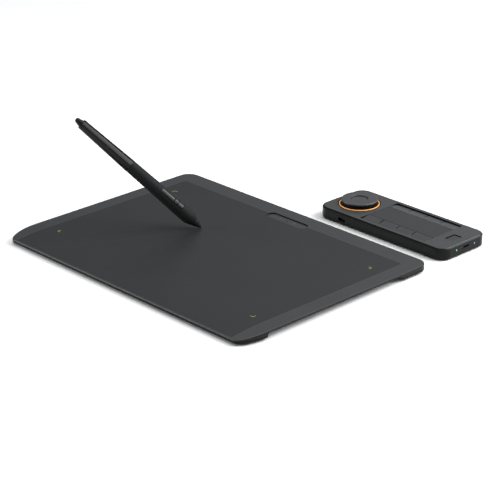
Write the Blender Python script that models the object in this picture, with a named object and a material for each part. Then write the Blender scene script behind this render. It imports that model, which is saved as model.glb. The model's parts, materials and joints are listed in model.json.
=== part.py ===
"""A pen drawing tablet with its pen and its shortcut remote.

The three units are assemblies of separate pieces. Every piece is one object, named after its node.
Sizes are in metres. +X runs along the tablet's long side, +Y points away from its user and +Z up.
The origin lies under the middle of the whole set, on the surface that the set stands on.
"""

import math

import bmesh
import bpy
from mathutils import Matrix, Vector

GAP = 0.0003                     # clearance between neighbouring pieces
CORNER_STEPS = 10                # straight runs in a quarter of a large corner
SMALL_STEPS = 4                  # straight runs in a quarter of a small corner
HOLE_SEGMENTS = 16               # sides of a screw, a hole or a pin
BEYOND = 0.002                   # how far a cutter reaches past the piece it cuts
OVERLAP = 0.0003                 # how deep a piece reaches into what it is fused with
EDGE_BREAK = 0.0003              # chamfer on a small piece's edge
STEP_RISE = 0.00001              # rise of a step that a stack of outlines makes nearly level
SHARP_ANGLE = math.radians(32)

# Tablet, in its own frame: origin under its middle
TABLET_PLACE = (0.0, -0.04155, 0.0)
TABLET_LENGTH = 0.3198
TABLET_DEPTH = 0.2306
TABLET_TOP = 0.00785
TABLET_UNDERSIDE = 0.0008
TABLET_EDGE_ROUNDING = 0.0007
# Each step of a lower edge: its height above the underside and its inset
TABLET_FLOOR_EDGE = ((0, 0.0022), (0.0005, 0.0011), (0.0011, 0.0004), (0.0019, 0))
TABLET_BACK_RADIUS = 0.012
TABLET_FRONT_RADIUS_X = 0.012    # the front corners are quarter ellipses
TABLET_FRONT_RADIUS_Y = 0.032
FRONT_DROP = 0.0026              # how far the top falls at the front edge
FRONT_DROP_START = -0.078        # where the fall begins
FRONT_STRIPS = 8                 # flat strips that make up the fall
TABLET_PARTING = 0.0036          # height of the joint between the covers
TABLET_PLATE_UNDERSIDE = 0.00575
TABLET_FLOOR_TOP = 0.0020
TABLET_TOP_CAVITY = (0.154, -0.108, 0.1126)      # half length, front and back
TABLET_BOTTOM_CAVITY = (0.1485, -0.1125, 0.1125)
TABLET_CAVITY_RADIUS = 0.009

SURFACE_HALF_LENGTH = 0.1431
SURFACE_FRONT = -0.113
SURFACE_BACK = 0.0947
SURFACE_THICKNESS = 0.0008
SURFACE_RADIUS = 0.0015

ACTIVE_HALF_LENGTH = 0.1312
ACTIVE_HALF_DEPTH = 0.0735
ACTIVE_MIDDLE_Y = -0.0034
LIGHT_ARM = 0.0038               # length of each arm of a corner light
LIGHT_WIDTH = 0.0006
LIGHT_TOP = TABLET_TOP - 0.00003

UNDERCUT_FRONT = (-0.0885, -0.086)     # where the finger undercut begins, low and high
UNDERCUT_BACK = (0.088, 0.076)         # where it ends, low and high
UNDERCUT_TOP = 0.0060
UNDERCUT_LOW = 0.0003
UNDERCUT_DEPTH = 0.0106

KEY_BAR_HALF_LENGTH = 0.025
KEY_BAR_FRONT = 0.089
KEY_BAR_BACK = 0.100
KEY_BAR_TOP = 0.00675
KEY_BAR_UNDERSIDE = 0.0049
KEY_BAR_SPLIT = 0.00845          # half the middle key's length, to the middle of the gap
KEY_FLANGE = 0.0009
KEY_FLANGE_TOP = 0.0054
KEY_DOT_RADIUS = 0.0009
KEY_DOT_SUNK = 0.0006            # how far the dot's centre lies below the key's top

TABLET_SCREWS = {"front_left": (-0.140, -0.097), "front_right": (0.140, -0.097),
                 "back_left": (-0.140, 0.100), "back_right": (0.140, 0.100)}
SCREW_HEAD_RADIUS = 0.0020
SCREW_HEAD_HEIGHT = 0.0007
SCREW_SHANK_RADIUS = 0.00085
SCREW_SEAT = 0.00195             # height of the counterbore's ceiling
SCREW_CROSS = (0.0011, 0.00025)  # half length and half width of the recess's arms
SCREW_CROSS_DEPTH = 0.00035
SCREW_PAD_RADIUS = 0.0036
SCREW_PAD_TOP = 0.0030
BOSS_RADIUS = 0.0024
TABLET_SHANK_TOP = 0.0041
TABLET_PILOT_TOP = 0.0052

TABLET_FEET = {"front": (0.0, -0.088), "back": (0.0, 0.086)}
TABLET_FOOT_SIZE = (0.250, 0.008)
FOOT_HEIGHT = 0.0010
FOOT_END_FLAT = 0.0005           # half of the straight run in a foot's round end
FOOT_POCKET_TOP = 0.0013

SENSOR_BOX = ((-0.138, -0.080, 0.0046), (0.138, 0.081, 0.0054))
SHIELD_BOX = ((-0.138, -0.080, 0.0039), (0.138, 0.081, 0.0043))
MAIN_BOARD_BOX = ((-0.125, 0.084, 0.0023), (0.038, 0.107, 0.0033))
TABLET_BATTERY_BOX = ((0.052, 0.085, 0.0023), (0.120, 0.109, 0.0052))
BOARD_CHIPS = ((-0.110, 0.095, 0.010), (-0.060, 0.094, 0.012), (-0.040, 0.100, 0.006),
               (0.028, 0.090, 0.005))            # middle and side of each
BOARD_CHIP_HEIGHT = 0.0010
POUCH_RADIUS = 0.002             # corners of a pouch cell
TABLET_KEY_SWITCH = (0.0036, 0.0007)       # side and height of the body
REMOTE_KEY_SWITCH_SIDE = 0.0045
SWITCH_PLUNGER_HEIGHT = 0.00015

PORT_WIDTH = 0.0089
PORT_HEIGHT = 0.0032
PORT_LENGTH = 0.0073
PORT_WALL = 0.0003
PORT_BACK_WALL = 0.0008
PORT_TONGUE = (0.0064, 0.0007)   # width and thickness of the contact tongue
PORT_TONGUE_SETBACK = 0.0008     # from the mouth to the tongue's end
PORT_OPENING_MARGIN = 0.0003
TABLET_PORT = (-0.070, 0.1150, 0.0040)     # middle of its mouth

TABLET_SWITCH_X = -0.0976        # the knob's middle at rest
TABLET_SWITCH_Z = 0.0039
TABLET_SWITCH_KNOB = (0.0049, 0.0016)      # width and height
TABLET_SWITCH_TRAVEL = 0.0025
TABLET_SWITCH_INSET = 0.0002     # from the back edge to the knob's face
TABLET_SWITCH_RIB = (0.0010, 0.0004, 0.0003)     # pitch, width and depth of its grooves
CARRIAGE_THICKNESS = 0.0013
CARRIAGE_MARGIN = (0.0010, 0.0006)         # how far a carriage reaches past its knob

# Remote, in its own frame: origin under its middle
REMOTE_PLACE = (0.0784, 0.1259, 0.0)
REMOTE_LENGTH = 0.1577
REMOTE_DEPTH = 0.0621
REMOTE_RADIUS = 0.011
REMOTE_UNDERSIDE = 0.0005
REMOTE_TOP = 0.0120
REMOTE_LEDGE = 0.0101            # height of the step in the wall that the top cover rests in
REMOTE_COVER_INSET = 0.0014      # from the remote's outline to the top cover's edge
REMOTE_COVER_ROUNDING = 0.0002
REMOTE_PLATE_UNDERSIDE = 0.0099
REMOTE_WALL = 0.0018
REMOTE_FLOOR_TOP = 0.0018
REMOTE_EDGE_ROUNDING = 0.0009
REMOTE_FLOOR_EDGE = ((0, 0.0016), (0.0003, 0.0009), (0.0008, 0.0003), (0.0015, 0))

WINDOW_LEFT = -0.0280
WINDOW_RIGHT = 0.0520
WINDOW_HALF_DEPTH = 0.0137
WINDOW_THICKNESS = 0.0010
WINDOW_SEAT = 0.0107
DISPLAY_BOX = ((-0.022, -0.009, 0.0089), (0.044, 0.009, 0.0106))
DISPLAY_FLEX_BOX = ((-0.018, -0.006, 0.0083), (0.024, 0.006, 0.0092))

KEY_EDGES = (-0.0276, -0.0078, 0.0120, 0.0318, 0.0518)
KEY_INNER = 0.0142               # distance of a key's inner edge from the remote's middle line
KEY_OUTER = 0.0262
KEY_INNER_TOP = 0.0127
KEY_OUTER_TOP = 0.0105
KEY_UNDERSIDE = 0.0090
KEY_FLANGE_Z = 0.0096
KEY_FLANGE_REACH = 0.0271
KEY_OUTER_RADIUS = 0.0035        # round corner at each end of a row
KEY_EDGE_ROUNDING = 0.0005
KEY_TICK_HALF_WIDTH = 0.0006    # extra width of the slot between keys, on each key
KEY_TICK_LENGTH = 0.0071          # from each key's back edge
KEY_TICK_FLOOR = 0.0099
KEY_BUMP_RADIUS = 0.0010
KEY_BUMP_PLACE = 0.36            # from the inner to the outer edge, as a share
KEY_BUMP_SUNK = 0.0005           # how far the bump's centre lies below the key's face
KEY_FLANGE_INSET = 0.002         # from a key's end to its flange's end
KEY_FLANGE_DEPTH = 0.004         # how far the flange reaches under the key
BUMP_KEY = 2                     # the third key of each row carries a bump

SET_KEY_MIDDLE = (0.0647, -0.0007)
SET_KEY_SIZE = (0.009, 0.0135)
SET_KEY_RADIUS = 0.0015
SET_KEY_TOP = 0.0114
SET_KEY_FLANGE = 0.0008

DIAL_MIDDLE = (-0.0536, 0.0)
DIAL_RADIUS = 0.0176
DIAL_TOP = 0.0172
DIAL_UNDERSIDE = 0.0119
DIAL_SEGMENTS = 40
RING_OUTER = 0.0194
RING_INNER = 0.0185
RING_TOP = 0.0125
RING_UNDERSIDE = 0.0119
COLLAR_OPENING = 0.0207
COLLAR_TOP = 0.0116
COLLAR_UNDERSIDE = 0.0102
DIAL_BUTTON_RADIUS = 0.0080
DIAL_BUTTON_TOP = 0.0161
DIAL_HUB = (0.0088, 0.0104)      # inner and outer radius of the knob's sleeve
DIAL_HUB_UNDERSIDE = 0.0084
DIAL_SHELF = 0.0154              # underside of the knob's face
DIAL_WALL = 0.002
DIAL_ROUNDING = 0.0009
DIAL_STEM = (0.0022, 0.0092)     # radius and underside of the press button's stem
DIAL_BUTTON_UNDERSIDE = 0.0136
DIAL_BUTTON_DISH = 0.0002        # how deep the button's face is dished
RIM_BREAK = 0.0002               # chamfer on the dial's small rims
COLLAR_CLEARANCE = 0.0008
ENCODER_OUTER = 0.0150
ENCODER_SPAN = (0.0067, 0.0099)

REMOTE_BOARD_Z = (0.0054, 0.0064)
REMOTE_SWITCH_TOP = 0.0080
REMOTE_BATTERY_BOX = ((-0.030, -0.018, 0.0021), (0.046, 0.018, 0.0050))
REMOTE_BOARD_PLAN = ((-0.0665, -0.0219), (-0.0415, -0.0219), (-0.0415, -0.0283),
                     (0.0680, -0.0283), (0.0680, 0.0283), (-0.0665, 0.0283))
REMOTE_LUGS = (-0.062, -0.020, 0.022, 0.064)    # middles of the snap-in lugs along each long wall
REMOTE_LUG_SIZE = (0.008, 0.0007, 0.0030)       # length, thickness and how far it hangs down
REMOTE_FEET = {"front": (0.0, -0.0225), "back": (0.0, 0.0225)}
REMOTE_FOOT_SIZE = (0.118, 0.006)
REMOTE_PORT = (-0.0474, -0.0296, 0.0055)
REMOTE_SLOT = (-0.0076, 0.0054)  # the switch slot's ends along Y
REMOTE_SLOT_Z = 0.0076
REMOTE_SLOT_HEIGHT = 0.0018
REMOTE_KNOB_WIDTH = 0.0044
REMOTE_KNOB_INSET = 0.0004       # from the end wall's face to the knob's face
REMOTE_CARRIAGE = (0.0012, 0.0010, 0.0003, 0.0006)     # thickness and how far past the knob along Y, down, up
GREEN_LIGHT = (-0.0122, 0.0073)  # Y and Z on the right end
BLUE_LIGHT = (0.0129, 0.0070)
LIGHT_RADIUS = 0.0009
LENS_LENGTH = 0.0028
LENS_DOME = 0.0002               # how far the lens stands above its rim
LENS_SEGMENTS = 12

# Pen, in its own frame: +Z from the nib's tip to the eraser, +X through the buttons
PEN_TIP = (-0.0418, -0.0179, 0.0082)
PEN_ALTITUDE = math.radians(44.2)          # of the pen's axis above the table
PEN_HEADING = math.radians(-131.0)         # where the eraser points, from +X towards +Y
PEN_BUTTON_ROLL = math.radians(-47.2)      # from the pen's upper side to its buttons
PEN_LENGTH = 0.1578
PEN_SEGMENTS = 28
NOSE_START = 0.0018
NOSE_END = 0.0090
NIB_RADIUS = 0.0008
NIB_HOLE = 0.00115
NIB_END = 0.0185
NIB_POINT = ((0, 0), (0.0003, 0.0001), (0.0005, 0.0005), (0.0008, 0.0015))     # (radius, z)
SPIGOT_RADIUS = 0.0029
SPIGOT_BORE = 0.0022
SPIGOT_END = 0.0137
NOSE_BORE_START = 0.0070
COIL_SPAN = (0.0075, 0.0135)
SENSOR_SPAN = (0.0144, 0.0200, 0.0233)     # start, end of the nib's hole and end
GRIP_START = 0.0093
GRIP_END = 0.0910
GRIP_BORE = 0.0045
GRIP_FRONT_BORE = 0.0032
BARREL_START = 0.0140
BARREL_SHOULDER = 0.0913
BARREL_END = 0.1508
BARREL_BORE = 0.0029
BARREL_TUBE_RADIUS = 0.0042
BARREL_FACET = 0.82              # distance of the flat from the axis, as a share of the radius
BARREL_RADII = (0.0061, 0.0047)
ERASER_RADIUS = 0.0033
ERASER_TIP_RADIUS = 0.0026       # of the ball that ends it
ERASER_STRAIGHT = 0.0015         # how far it runs straight out of the barrel
FACET_SHOULDER = 0.0006          # from the grip's end to the start of the flat
ERASER_SEAT = (0.1468, 0.00375)  # start and radius of the counterbore for the eraser
ERASER_STEM = (0.1440, 0.0024)   # start and radius
ERASER_PLAY = 0.0012             # from the seat to the eraser's shoulder at rest
ERASER_CAP_STEPS = 4
ERASER_CAP_STEP = 18             # degrees
ERASER_SENSOR_SPAN = (0.1328, 0.1423)
GRIP_PROFILE = ((0.0093, 0.00425), (0.0120, 0.00535), (0.0146, 0.0064), (0.0165, 0.00685), (0.0200, 0.0070),
                (0.0240, 0.0070), (0.0350, 0.00685), (0.0500, 0.00655), (0.0700, 0.00625), (0.0910, 0.0060))
NOSE_PROFILE = ((0.0018, 0.0013), (0.0021, 0.00145), (0.0050, 0.0025), (0.0090, 0.0041))
BUTTON_SPANS = {"front": (0.0282, 0.0343), "middle": (0.0346, 0.0388), "rear": (0.0391, 0.0548)}
BUTTON_HALF_WIDTH = 0.0018
BUTTON_UNDERSIDE = 0.0051
BUTTON_PROUD = {"front": 0.0006, "middle": 0.0009, "rear": 0.0006}
BUTTON_END_SHRINK = 0.00035      # how far a button's top falls at its ends
BUTTON_END_LENGTH = 0.0004
BUTTON_CROWN = ((0.0018, 0.0006), (0.0014, 0.0002), (0.0, 0.0))    # half width and fall
BUTTON_WINDOW = (0.0279, 0.0551)
BARREL_WINDOW_START = 0.0005
PEN_BOARD_BOX = ((0.0010, -0.0017, 0.0246), (0.0018, 0.0017, 0.0900))
PEN_CHIP_BOX = ((0.0016, -0.0013, 0.0600), (0.0022, 0.0013, 0.0700))
PEN_SWITCH_HALF_SIDE = 0.0014
PEN_SWITCH_SPAN = (0.0016, 0.0044)         # height above the pen's axis

DARK_PLASTIC = (0.045, 0.047, 0.049)
BEZEL = (0.075, 0.079, 0.082)
SHEET = (0.050, 0.052, 0.055)
KEY_GREY = (0.130, 0.134, 0.140)
RUBBER_BLACK = (0.018, 0.018, 0.019)
BOARD_GREEN = (0.020, 0.090, 0.050)
STEEL = (0.55, 0.56, 0.58)
COPPER = (0.72, 0.33, 0.16)
BATTERY_SILVER = (0.50, 0.51, 0.53)
OLIVE = (0.35, 0.36, 0.10)
ORANGE = (0.85, 0.35, 0.06)
GREEN = (0.25, 0.70, 0.28)
BLUE = (0.12, 0.35, 0.70)
DISPLAY_GREY = (0.10, 0.11, 0.12)

# Turns a section in the XY plane, extruded along Z, so that it runs along X
ALONG_X = Matrix(((0, 0, 1), (1, 0, 0), (0, 1, 0))).to_4x4()


def clear_scene():
    """Remove every object, so that the model starts from nothing."""
    for thing in list(bpy.data.objects):
        bpy.data.objects.remove(thing, do_unlink=True)


# Outlines: lists of (x, y) points, counter-clockwise

def arc(centre, radii, start, end, steps):
    """Points along an ellipse between two angles in degrees."""
    angles = [math.radians(start + (end - start) * i / steps) for i in range(steps + 1)]
    return [(centre[0] + radii[0] * math.cos(a), centre[1] + radii[1] * math.sin(a)) for a in angles]


def rounded_rectangle(low, high, radius, steps=SMALL_STEPS):
    """A rectangle between two opposite corners, with four round corners."""
    centres = ((high[0] - radius, high[1] - radius), (low[0] + radius, high[1] - radius),
               (low[0] + radius, low[1] + radius), (high[0] - radius, low[1] + radius))
    points = []
    for quarter, centre in enumerate(centres):
        points += arc(centre, (radius, radius), 90 * quarter, 90 * quarter + 90, steps)
    return points


def rectangle(low, high):
    return [(low[0], low[1]), (high[0], low[1]), (high[0], high[1]), (low[0], high[1])]


def circle(centre, radius, segments=HOLE_SEGMENTS):
    return arc(centre, (radius, radius), 0, 360 - 360 / segments, segments - 1)


def tablet_outline(inset=0.0):
    """The tablet's plan: round back corners and long elliptical front corners."""
    half_x = TABLET_LENGTH / 2 - inset
    half_y = TABLET_DEPTH / 2 - inset
    back = TABLET_BACK_RADIUS - inset
    front = (TABLET_FRONT_RADIUS_X - inset, TABLET_FRONT_RADIUS_Y - inset)
    points = arc((half_x - back, half_y - back), (back, back), 0, 90, CORNER_STEPS)
    points += arc((back - half_x, half_y - back), (back, back), 90, 180, CORNER_STEPS)
    points += arc((front[0] - half_x, front[1] - half_y), front, 180, 270, CORNER_STEPS)
    points += arc((half_x - front[0], front[1] - half_y), front, 270, 360, CORNER_STEPS)
    return points


def remote_outline(inset=0.0):
    """The remote's plan: a rectangle with four round corners."""
    half = Vector((REMOTE_LENGTH / 2 - inset, REMOTE_DEPTH / 2 - inset))
    return rounded_rectangle(-half, half, REMOTE_RADIUS - inset, CORNER_STEPS)


# Solids: closed bmeshes with their faces pointing out

def loft(rings):
    """A solid through rings of 3-D points, with a flat cap on the first and the last."""
    solid = bmesh.new()
    loops = [[solid.verts.new(point) for point in ring] for ring in rings]
    solid.faces.new(loops[0][::-1])
    solid.faces.new(loops[-1])
    for lower, upper in zip(loops, loops[1:]):
        for i in range(len(lower)):
            j = (i + 1) % len(lower)
            solid.faces.new((lower[i], lower[j], upper[j], upper[i]))
    return solid


def stack(outline, levels):
    """A solid from an outline function and its levels, each a height and an inset."""
    return loft([[(x, y, z) for x, y in outline(inset)] for z, inset in levels])


def prism(outline, low, high):
    """An outline extruded from one height to another."""
    return loft([[(x, y, z) for x, y in outline] for z in (low, high)])


def block(low, high):
    """A box between two opposite corners."""
    return prism(rectangle(low, high), low[2], high[2])


def turned(profile, segments, centre=(0.0, 0.0)):
    """A solid of revolution about Z from a closed, counter-clockwise outline of (radius, height)."""
    solid = bmesh.new()
    rings = []
    for radius, height in profile:
        if radius == 0:
            rings.append([solid.verts.new((centre[0], centre[1], height))] * segments)
            continue
        points = circle(centre, radius, segments)
        rings.append([solid.verts.new((x, y, height)) for x, y in points])
    for lower, upper in zip(rings, rings[1:] + rings[:1]):
        for i in range(segments):
            j = (i + 1) % segments
            corners = []
            for vertex in (lower[i], lower[j], upper[j], upper[i]):
                if vertex not in corners:
                    corners.append(vertex)
            if len(corners) > 2:
                solid.faces.new(corners)
    return solid


def tube(inner, outer, low, high, centre=(0.0, 0.0), segments=HOLE_SEGMENTS):
    """A ring with a rectangular section."""
    return turned([(inner, low), (outer, low), (outer, high), (inner, high)], segments, centre)


def rod(radius, low, high, centre=(0.0, 0.0), segments=HOLE_SEGMENTS):
    """An upright cylinder."""
    return prism(circle(centre, radius, segments), low, high)


def dome(centre, radius, segments=12):
    """A ball, of which a key shows the cap that stands proud."""
    solid = bmesh.new()
    bmesh.ops.create_uvsphere(solid, u_segments=segments, v_segments=segments // 2, radius=radius)
    return moved(solid, Matrix.Translation(centre))


def moved(solid, matrix):
    bmesh.ops.transform(solid, matrix=matrix, verts=solid.verts)
    return solid


def together(solids):
    """Several separate solids as one bmesh."""
    joined = bmesh.new()
    for solid in solids:
        mesh = bpy.data.meshes.new("joined")
        solid.to_mesh(mesh)
        joined.from_mesh(mesh)
        solid.free()
        bpy.data.meshes.remove(mesh)
    return joined


def boolean(base, tool, operation):
    """Combine two bmeshes with Blender's exact Boolean; both are used up."""
    objects = []
    for solid in (base, tool):
        mesh = bpy.data.meshes.new("boolean")
        solid.to_mesh(mesh)
        solid.free()
        thing = bpy.data.objects.new("boolean", mesh)
        bpy.context.scene.collection.objects.link(thing)
        objects.append(thing)
    modifier = objects[0].modifiers.new("boolean", "BOOLEAN")
    modifier.operation = operation
    modifier.solver = "EXACT"
    modifier.object = objects[1]
    graph = bpy.context.evaluated_depsgraph_get()
    mesh = bpy.data.meshes.new_from_object(objects[0].evaluated_get(graph))
    result = bmesh.new()
    result.from_mesh(mesh)
    for thing in objects:
        source = thing.data
        bpy.data.objects.remove(thing, do_unlink=True)
        bpy.data.meshes.remove(source)
    bpy.data.meshes.remove(mesh)
    return result


def cut(base, *tools):
    for tool in tools:
        base = boolean(base, tool, "DIFFERENCE")
    return base


def fused(base, *others):
    for other in others:
        base = boolean(base, other, "UNION")
    return base


def slot_prism(middle, width, height, start, end, axis):
    """A bar with round ends to its section, running along Y or X, for a port or a slot."""
    radius = height / 2 - 0.00001
    section = rounded_rectangle((-width / 2, -height / 2), (width / 2, height / 2), radius)
    bar = prism(section, start, end)
    if axis == "Y":
        turn = Matrix(((1, 0, 0), (0, 0, 1), (0, 1, 0))).to_4x4()
        place = Matrix.Translation((middle[0], 0, middle[1]))
    else:
        turn = ALONG_X
        place = Matrix.Translation((0, middle[0], middle[1]))
    moved(bar, place @ turn)
    if axis == "Y":
        bmesh.ops.reverse_faces(bar, faces=bar.faces)
    return bar


# Objects

def frame(name, place, rotation=None):
    """An empty that carries one unit of the set."""
    empty = bpy.data.objects.new(name, None)
    empty.empty_display_size = 0.02
    matrix = rotation.to_4x4() if rotation else Matrix.Identity(4)
    empty.matrix_world = Matrix.Translation(place) @ matrix
    bpy.context.scene.collection.objects.link(empty)
    return empty


def add_piece(name, solid, parent, look, origin=(0.0, 0.0, 0.0)):
    """Make the object of one node; look is its colour, roughness and metallic value."""
    moved(solid, Matrix.Translation(-Vector(origin)))
    mesh = bpy.data.meshes.new(name)
    solid.to_mesh(mesh)
    solid.free()
    mesh.shade_smooth()
    mesh.set_sharp_from_angle(angle=SHARP_ANGLE)
    piece = bpy.data.objects.new(name, mesh)
    piece.parent = parent
    piece.location = origin
    bpy.context.scene.collection.objects.link(piece)
    colour, roughness, metallic = look
    material = bpy.data.materials.new(name)
    material.use_nodes = True
    shader = material.node_tree.nodes["Principled BSDF"]
    shader.inputs["Base Color"].default_value = (*colour, 1.0)
    shader.inputs["Roughness"].default_value = roughness
    shader.inputs["Metallic"].default_value = metallic
    mesh.materials.append(material)
    return piece


# Pieces that more than one unit has

def add_screws(unit, places, shank_top, parent):
    """Pan-head screws with a cross recess, driven from below."""
    head_low = SCREW_SEAT - GAP - SCREW_HEAD_HEIGHT
    head_high = SCREW_SEAT - GAP
    for where, place in places.items():
        profile = [(0, head_low), (SCREW_HEAD_RADIUS, head_low), (SCREW_HEAD_RADIUS, head_high),
                   (SCREW_SHANK_RADIUS, head_high), (SCREW_SHANK_RADIUS, shank_top), (0, shank_top)]
        screw = turned(profile, HOLE_SEGMENTS)
        for half_x, half_y in (SCREW_CROSS, SCREW_CROSS[::-1]):
            arm = block((-half_x, -half_y, head_low - BEYOND), (half_x, half_y, head_low + SCREW_CROSS_DEPTH))
            screw = cut(screw, arm)
        moved(screw, Matrix.Translation((*place, 0)))
        add_piece(f"{unit}_screw_{where}", screw, parent, (STEEL, 0.35, 1.0), (*place, head_low))


def foot_shape(place, size, margin, low, high):
    """A flat bar with round ends."""
    half = Vector(size) / 2 + Vector((margin, margin))
    middle = Vector(place)
    return prism(rounded_rectangle(middle - half, middle + half, min(half) - FOOT_END_FLAT), low, high)


def add_feet(unit, places, size, parent):
    """Rubber strips standing on the table, glued into shallow pockets."""
    for where, place in places.items():
        strip = foot_shape(place, size, 0, 0, FOOT_HEIGHT)
        add_piece(f"{unit}_{where}_foot", strip, parent, (RUBBER_BLACK, 0.9, 0.0), (*place, 0))


def foot_pockets(places, size, underside):
    """Cutters for the shallow pockets that hold the feet."""
    low = underside - BEYOND
    return together([foot_shape(place, size, GAP, low, FOOT_POCKET_TOP) for place in places.values()])


def screw_pads(places, low, high):
    return together([rod(SCREW_PAD_RADIUS, low, high, place) for place in places.values()])


def screw_holes(places, underside, pad_top):
    """Cutters for the counterbores and the through holes of the screws."""
    cutters = []
    for place in places.values():
        hole = SCREW_SHANK_RADIUS + GAP
        wide = SCREW_HEAD_RADIUS + GAP
        profile = [(0, underside - BEYOND), (wide, underside - BEYOND), (wide, SCREW_SEAT),
                   (hole, SCREW_SEAT), (hole, pad_top + BEYOND), (0, pad_top + BEYOND)]
        cutters.append(turned(profile, HOLE_SEGMENTS, place))
    return together(cutters)


def bosses(places, low, high):
    return together([rod(BOSS_RADIUS, low, high, place) for place in places.values()])


def pilot_holes(places, low, high):
    return together([rod(SCREW_SHANK_RADIUS + GAP, low - BEYOND, high, place) for place in places.values()])


def usb_inlet(mouth, direction):
    """A USB-C inlet: its folded shell, its back wall and its contact tongue, open towards direction."""
    back = -PORT_LENGTH
    shell = slot_prism((0, 0), PORT_WIDTH, PORT_HEIGHT, back, 0, "Y")
    inside = (PORT_WIDTH - 2 * PORT_WALL, PORT_HEIGHT - 2 * PORT_WALL)
    hollow = slot_prism((0, 0), *inside, back + PORT_BACK_WALL, BEYOND, "Y")
    shell = cut(shell, hollow)
    half = (PORT_TONGUE[0] / 2, PORT_TONGUE[1] / 2)
    tongue = block((-half[0], back + PORT_BACK_WALL / 2, -half[1]), (half[0], -PORT_TONGUE_SETBACK, half[1]))
    shell = fused(shell, tongue)
    turn = Matrix.Rotation(0 if direction > 0 else math.pi, 4, "Z")
    return moved(shell, Matrix.Translation(mouth) @ turn)


def port_opening(mouth, direction):
    """The cutter for a USB-C inlet's opening through a wall."""
    margin = 2 * PORT_OPENING_MARGIN
    ends = sorted((mouth[1] - direction * PORT_LENGTH, mouth[1] + direction * BEYOND))
    return slot_prism((mouth[0], mouth[2]), PORT_WIDTH + margin, PORT_HEIGHT + margin, *ends, "Y")


def with_switches(board, places, low, high, side):
    """Solder small square switches onto a board, each with a round plunger on top."""
    plunger = SWITCH_PLUNGER_HEIGHT
    switches = []
    for x, y in places:
        body = block((x - side / 2, y - side / 2, low), (x + side / 2, y + side / 2, high))
        switches.append(fused(body, rod(side / 4, high - plunger, high + plunger, (x, y))))
    return fused(board, together(switches))


# Tablet

def front_drop(y):
    """How far the tablet's top has fallen at a distance y from its middle."""
    share = (FRONT_DROP_START - y) / (FRONT_DROP_START + TABLET_DEPTH / 2)
    return FRONT_DROP * max(share, 0.0) ** 2


def lower_front(solid):
    """Bend what lies above the joint between the covers down towards the front edge."""
    step = (FRONT_DROP_START + TABLET_DEPTH / 2) / FRONT_STRIPS
    for strip in range(FRONT_STRIPS):
        geometry = list(solid.verts) + list(solid.edges) + list(solid.faces)
        place = (0, FRONT_DROP_START - strip * step, 0)
        bmesh.ops.bisect_plane(solid, geom=geometry, dist=0.000001, plane_co=place, plane_no=(0, 1, 0))
    for vertex in solid.verts:
        if vertex.co.z > TABLET_PARTING + BEYOND / 4:
            vertex.co.z -= front_drop(vertex.co.y)
    return solid


def finger_undercuts():
    """Cutters for the slanted scoops under both sides of the tablet, where fingers lift it."""
    edge = TABLET_LENGTH / 2
    beyond = edge + BEYOND
    rings = []
    for y_low, y_high in (UNDERCUT_FRONT, UNDERCUT_BACK):
        rings.append([(edge - UNDERCUT_DEPTH, y_low, UNDERCUT_LOW), (edge, y_high, UNDERCUT_TOP),
                      (beyond, y_high, UNDERCUT_TOP), (beyond, y_low, UNDERCUT_LOW)])
    right = loft(rings)
    left = moved(right.copy(), Matrix.Rotation(math.pi, 4, "Z") @ Matrix.Scale(-1, 4, (0, 1, 0)))
    bmesh.ops.reverse_faces(left, faces=left.faces)
    return together([right, left])


def key_bar_outline(margin):
    """The pill that holds the three keys."""
    low = (-KEY_BAR_HALF_LENGTH - margin, KEY_BAR_FRONT - margin)
    high = (KEY_BAR_HALF_LENGTH + margin, KEY_BAR_BACK + margin)
    radius = (high[1] - low[1]) / 2 - 0.00001
    return rounded_rectangle(low, high, radius, CORNER_STEPS)


def corner_light_shapes(margin, low, high):
    """L-shaped prisms at the active area's four corners, their arms pointing inwards."""
    lights = {}
    for end, side_x in (("left", -1), ("right", 1)):
        for row, side_y in (("front", -1), ("back", 1)):
            corner = Vector((side_x * ACTIVE_HALF_LENGTH, ACTIVE_MIDDLE_Y + side_y * ACTIVE_HALF_DEPTH))
            steps = ((-margin, -margin), (LIGHT_ARM + margin, -margin),
                     (LIGHT_ARM + margin, LIGHT_WIDTH + margin),
                     (LIGHT_WIDTH + margin, LIGHT_WIDTH + margin),
                     (LIGHT_WIDTH + margin, LIGHT_ARM + margin), (-margin, LIGHT_ARM + margin))
            outline = [(corner.x - side_x * x, corner.y - side_y * y) for x, y in steps]
            if side_x * side_y < 0:
                outline.reverse()
            lights[f"{row}_{end}"] = prism(outline, low, high)
    return lights


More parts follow.
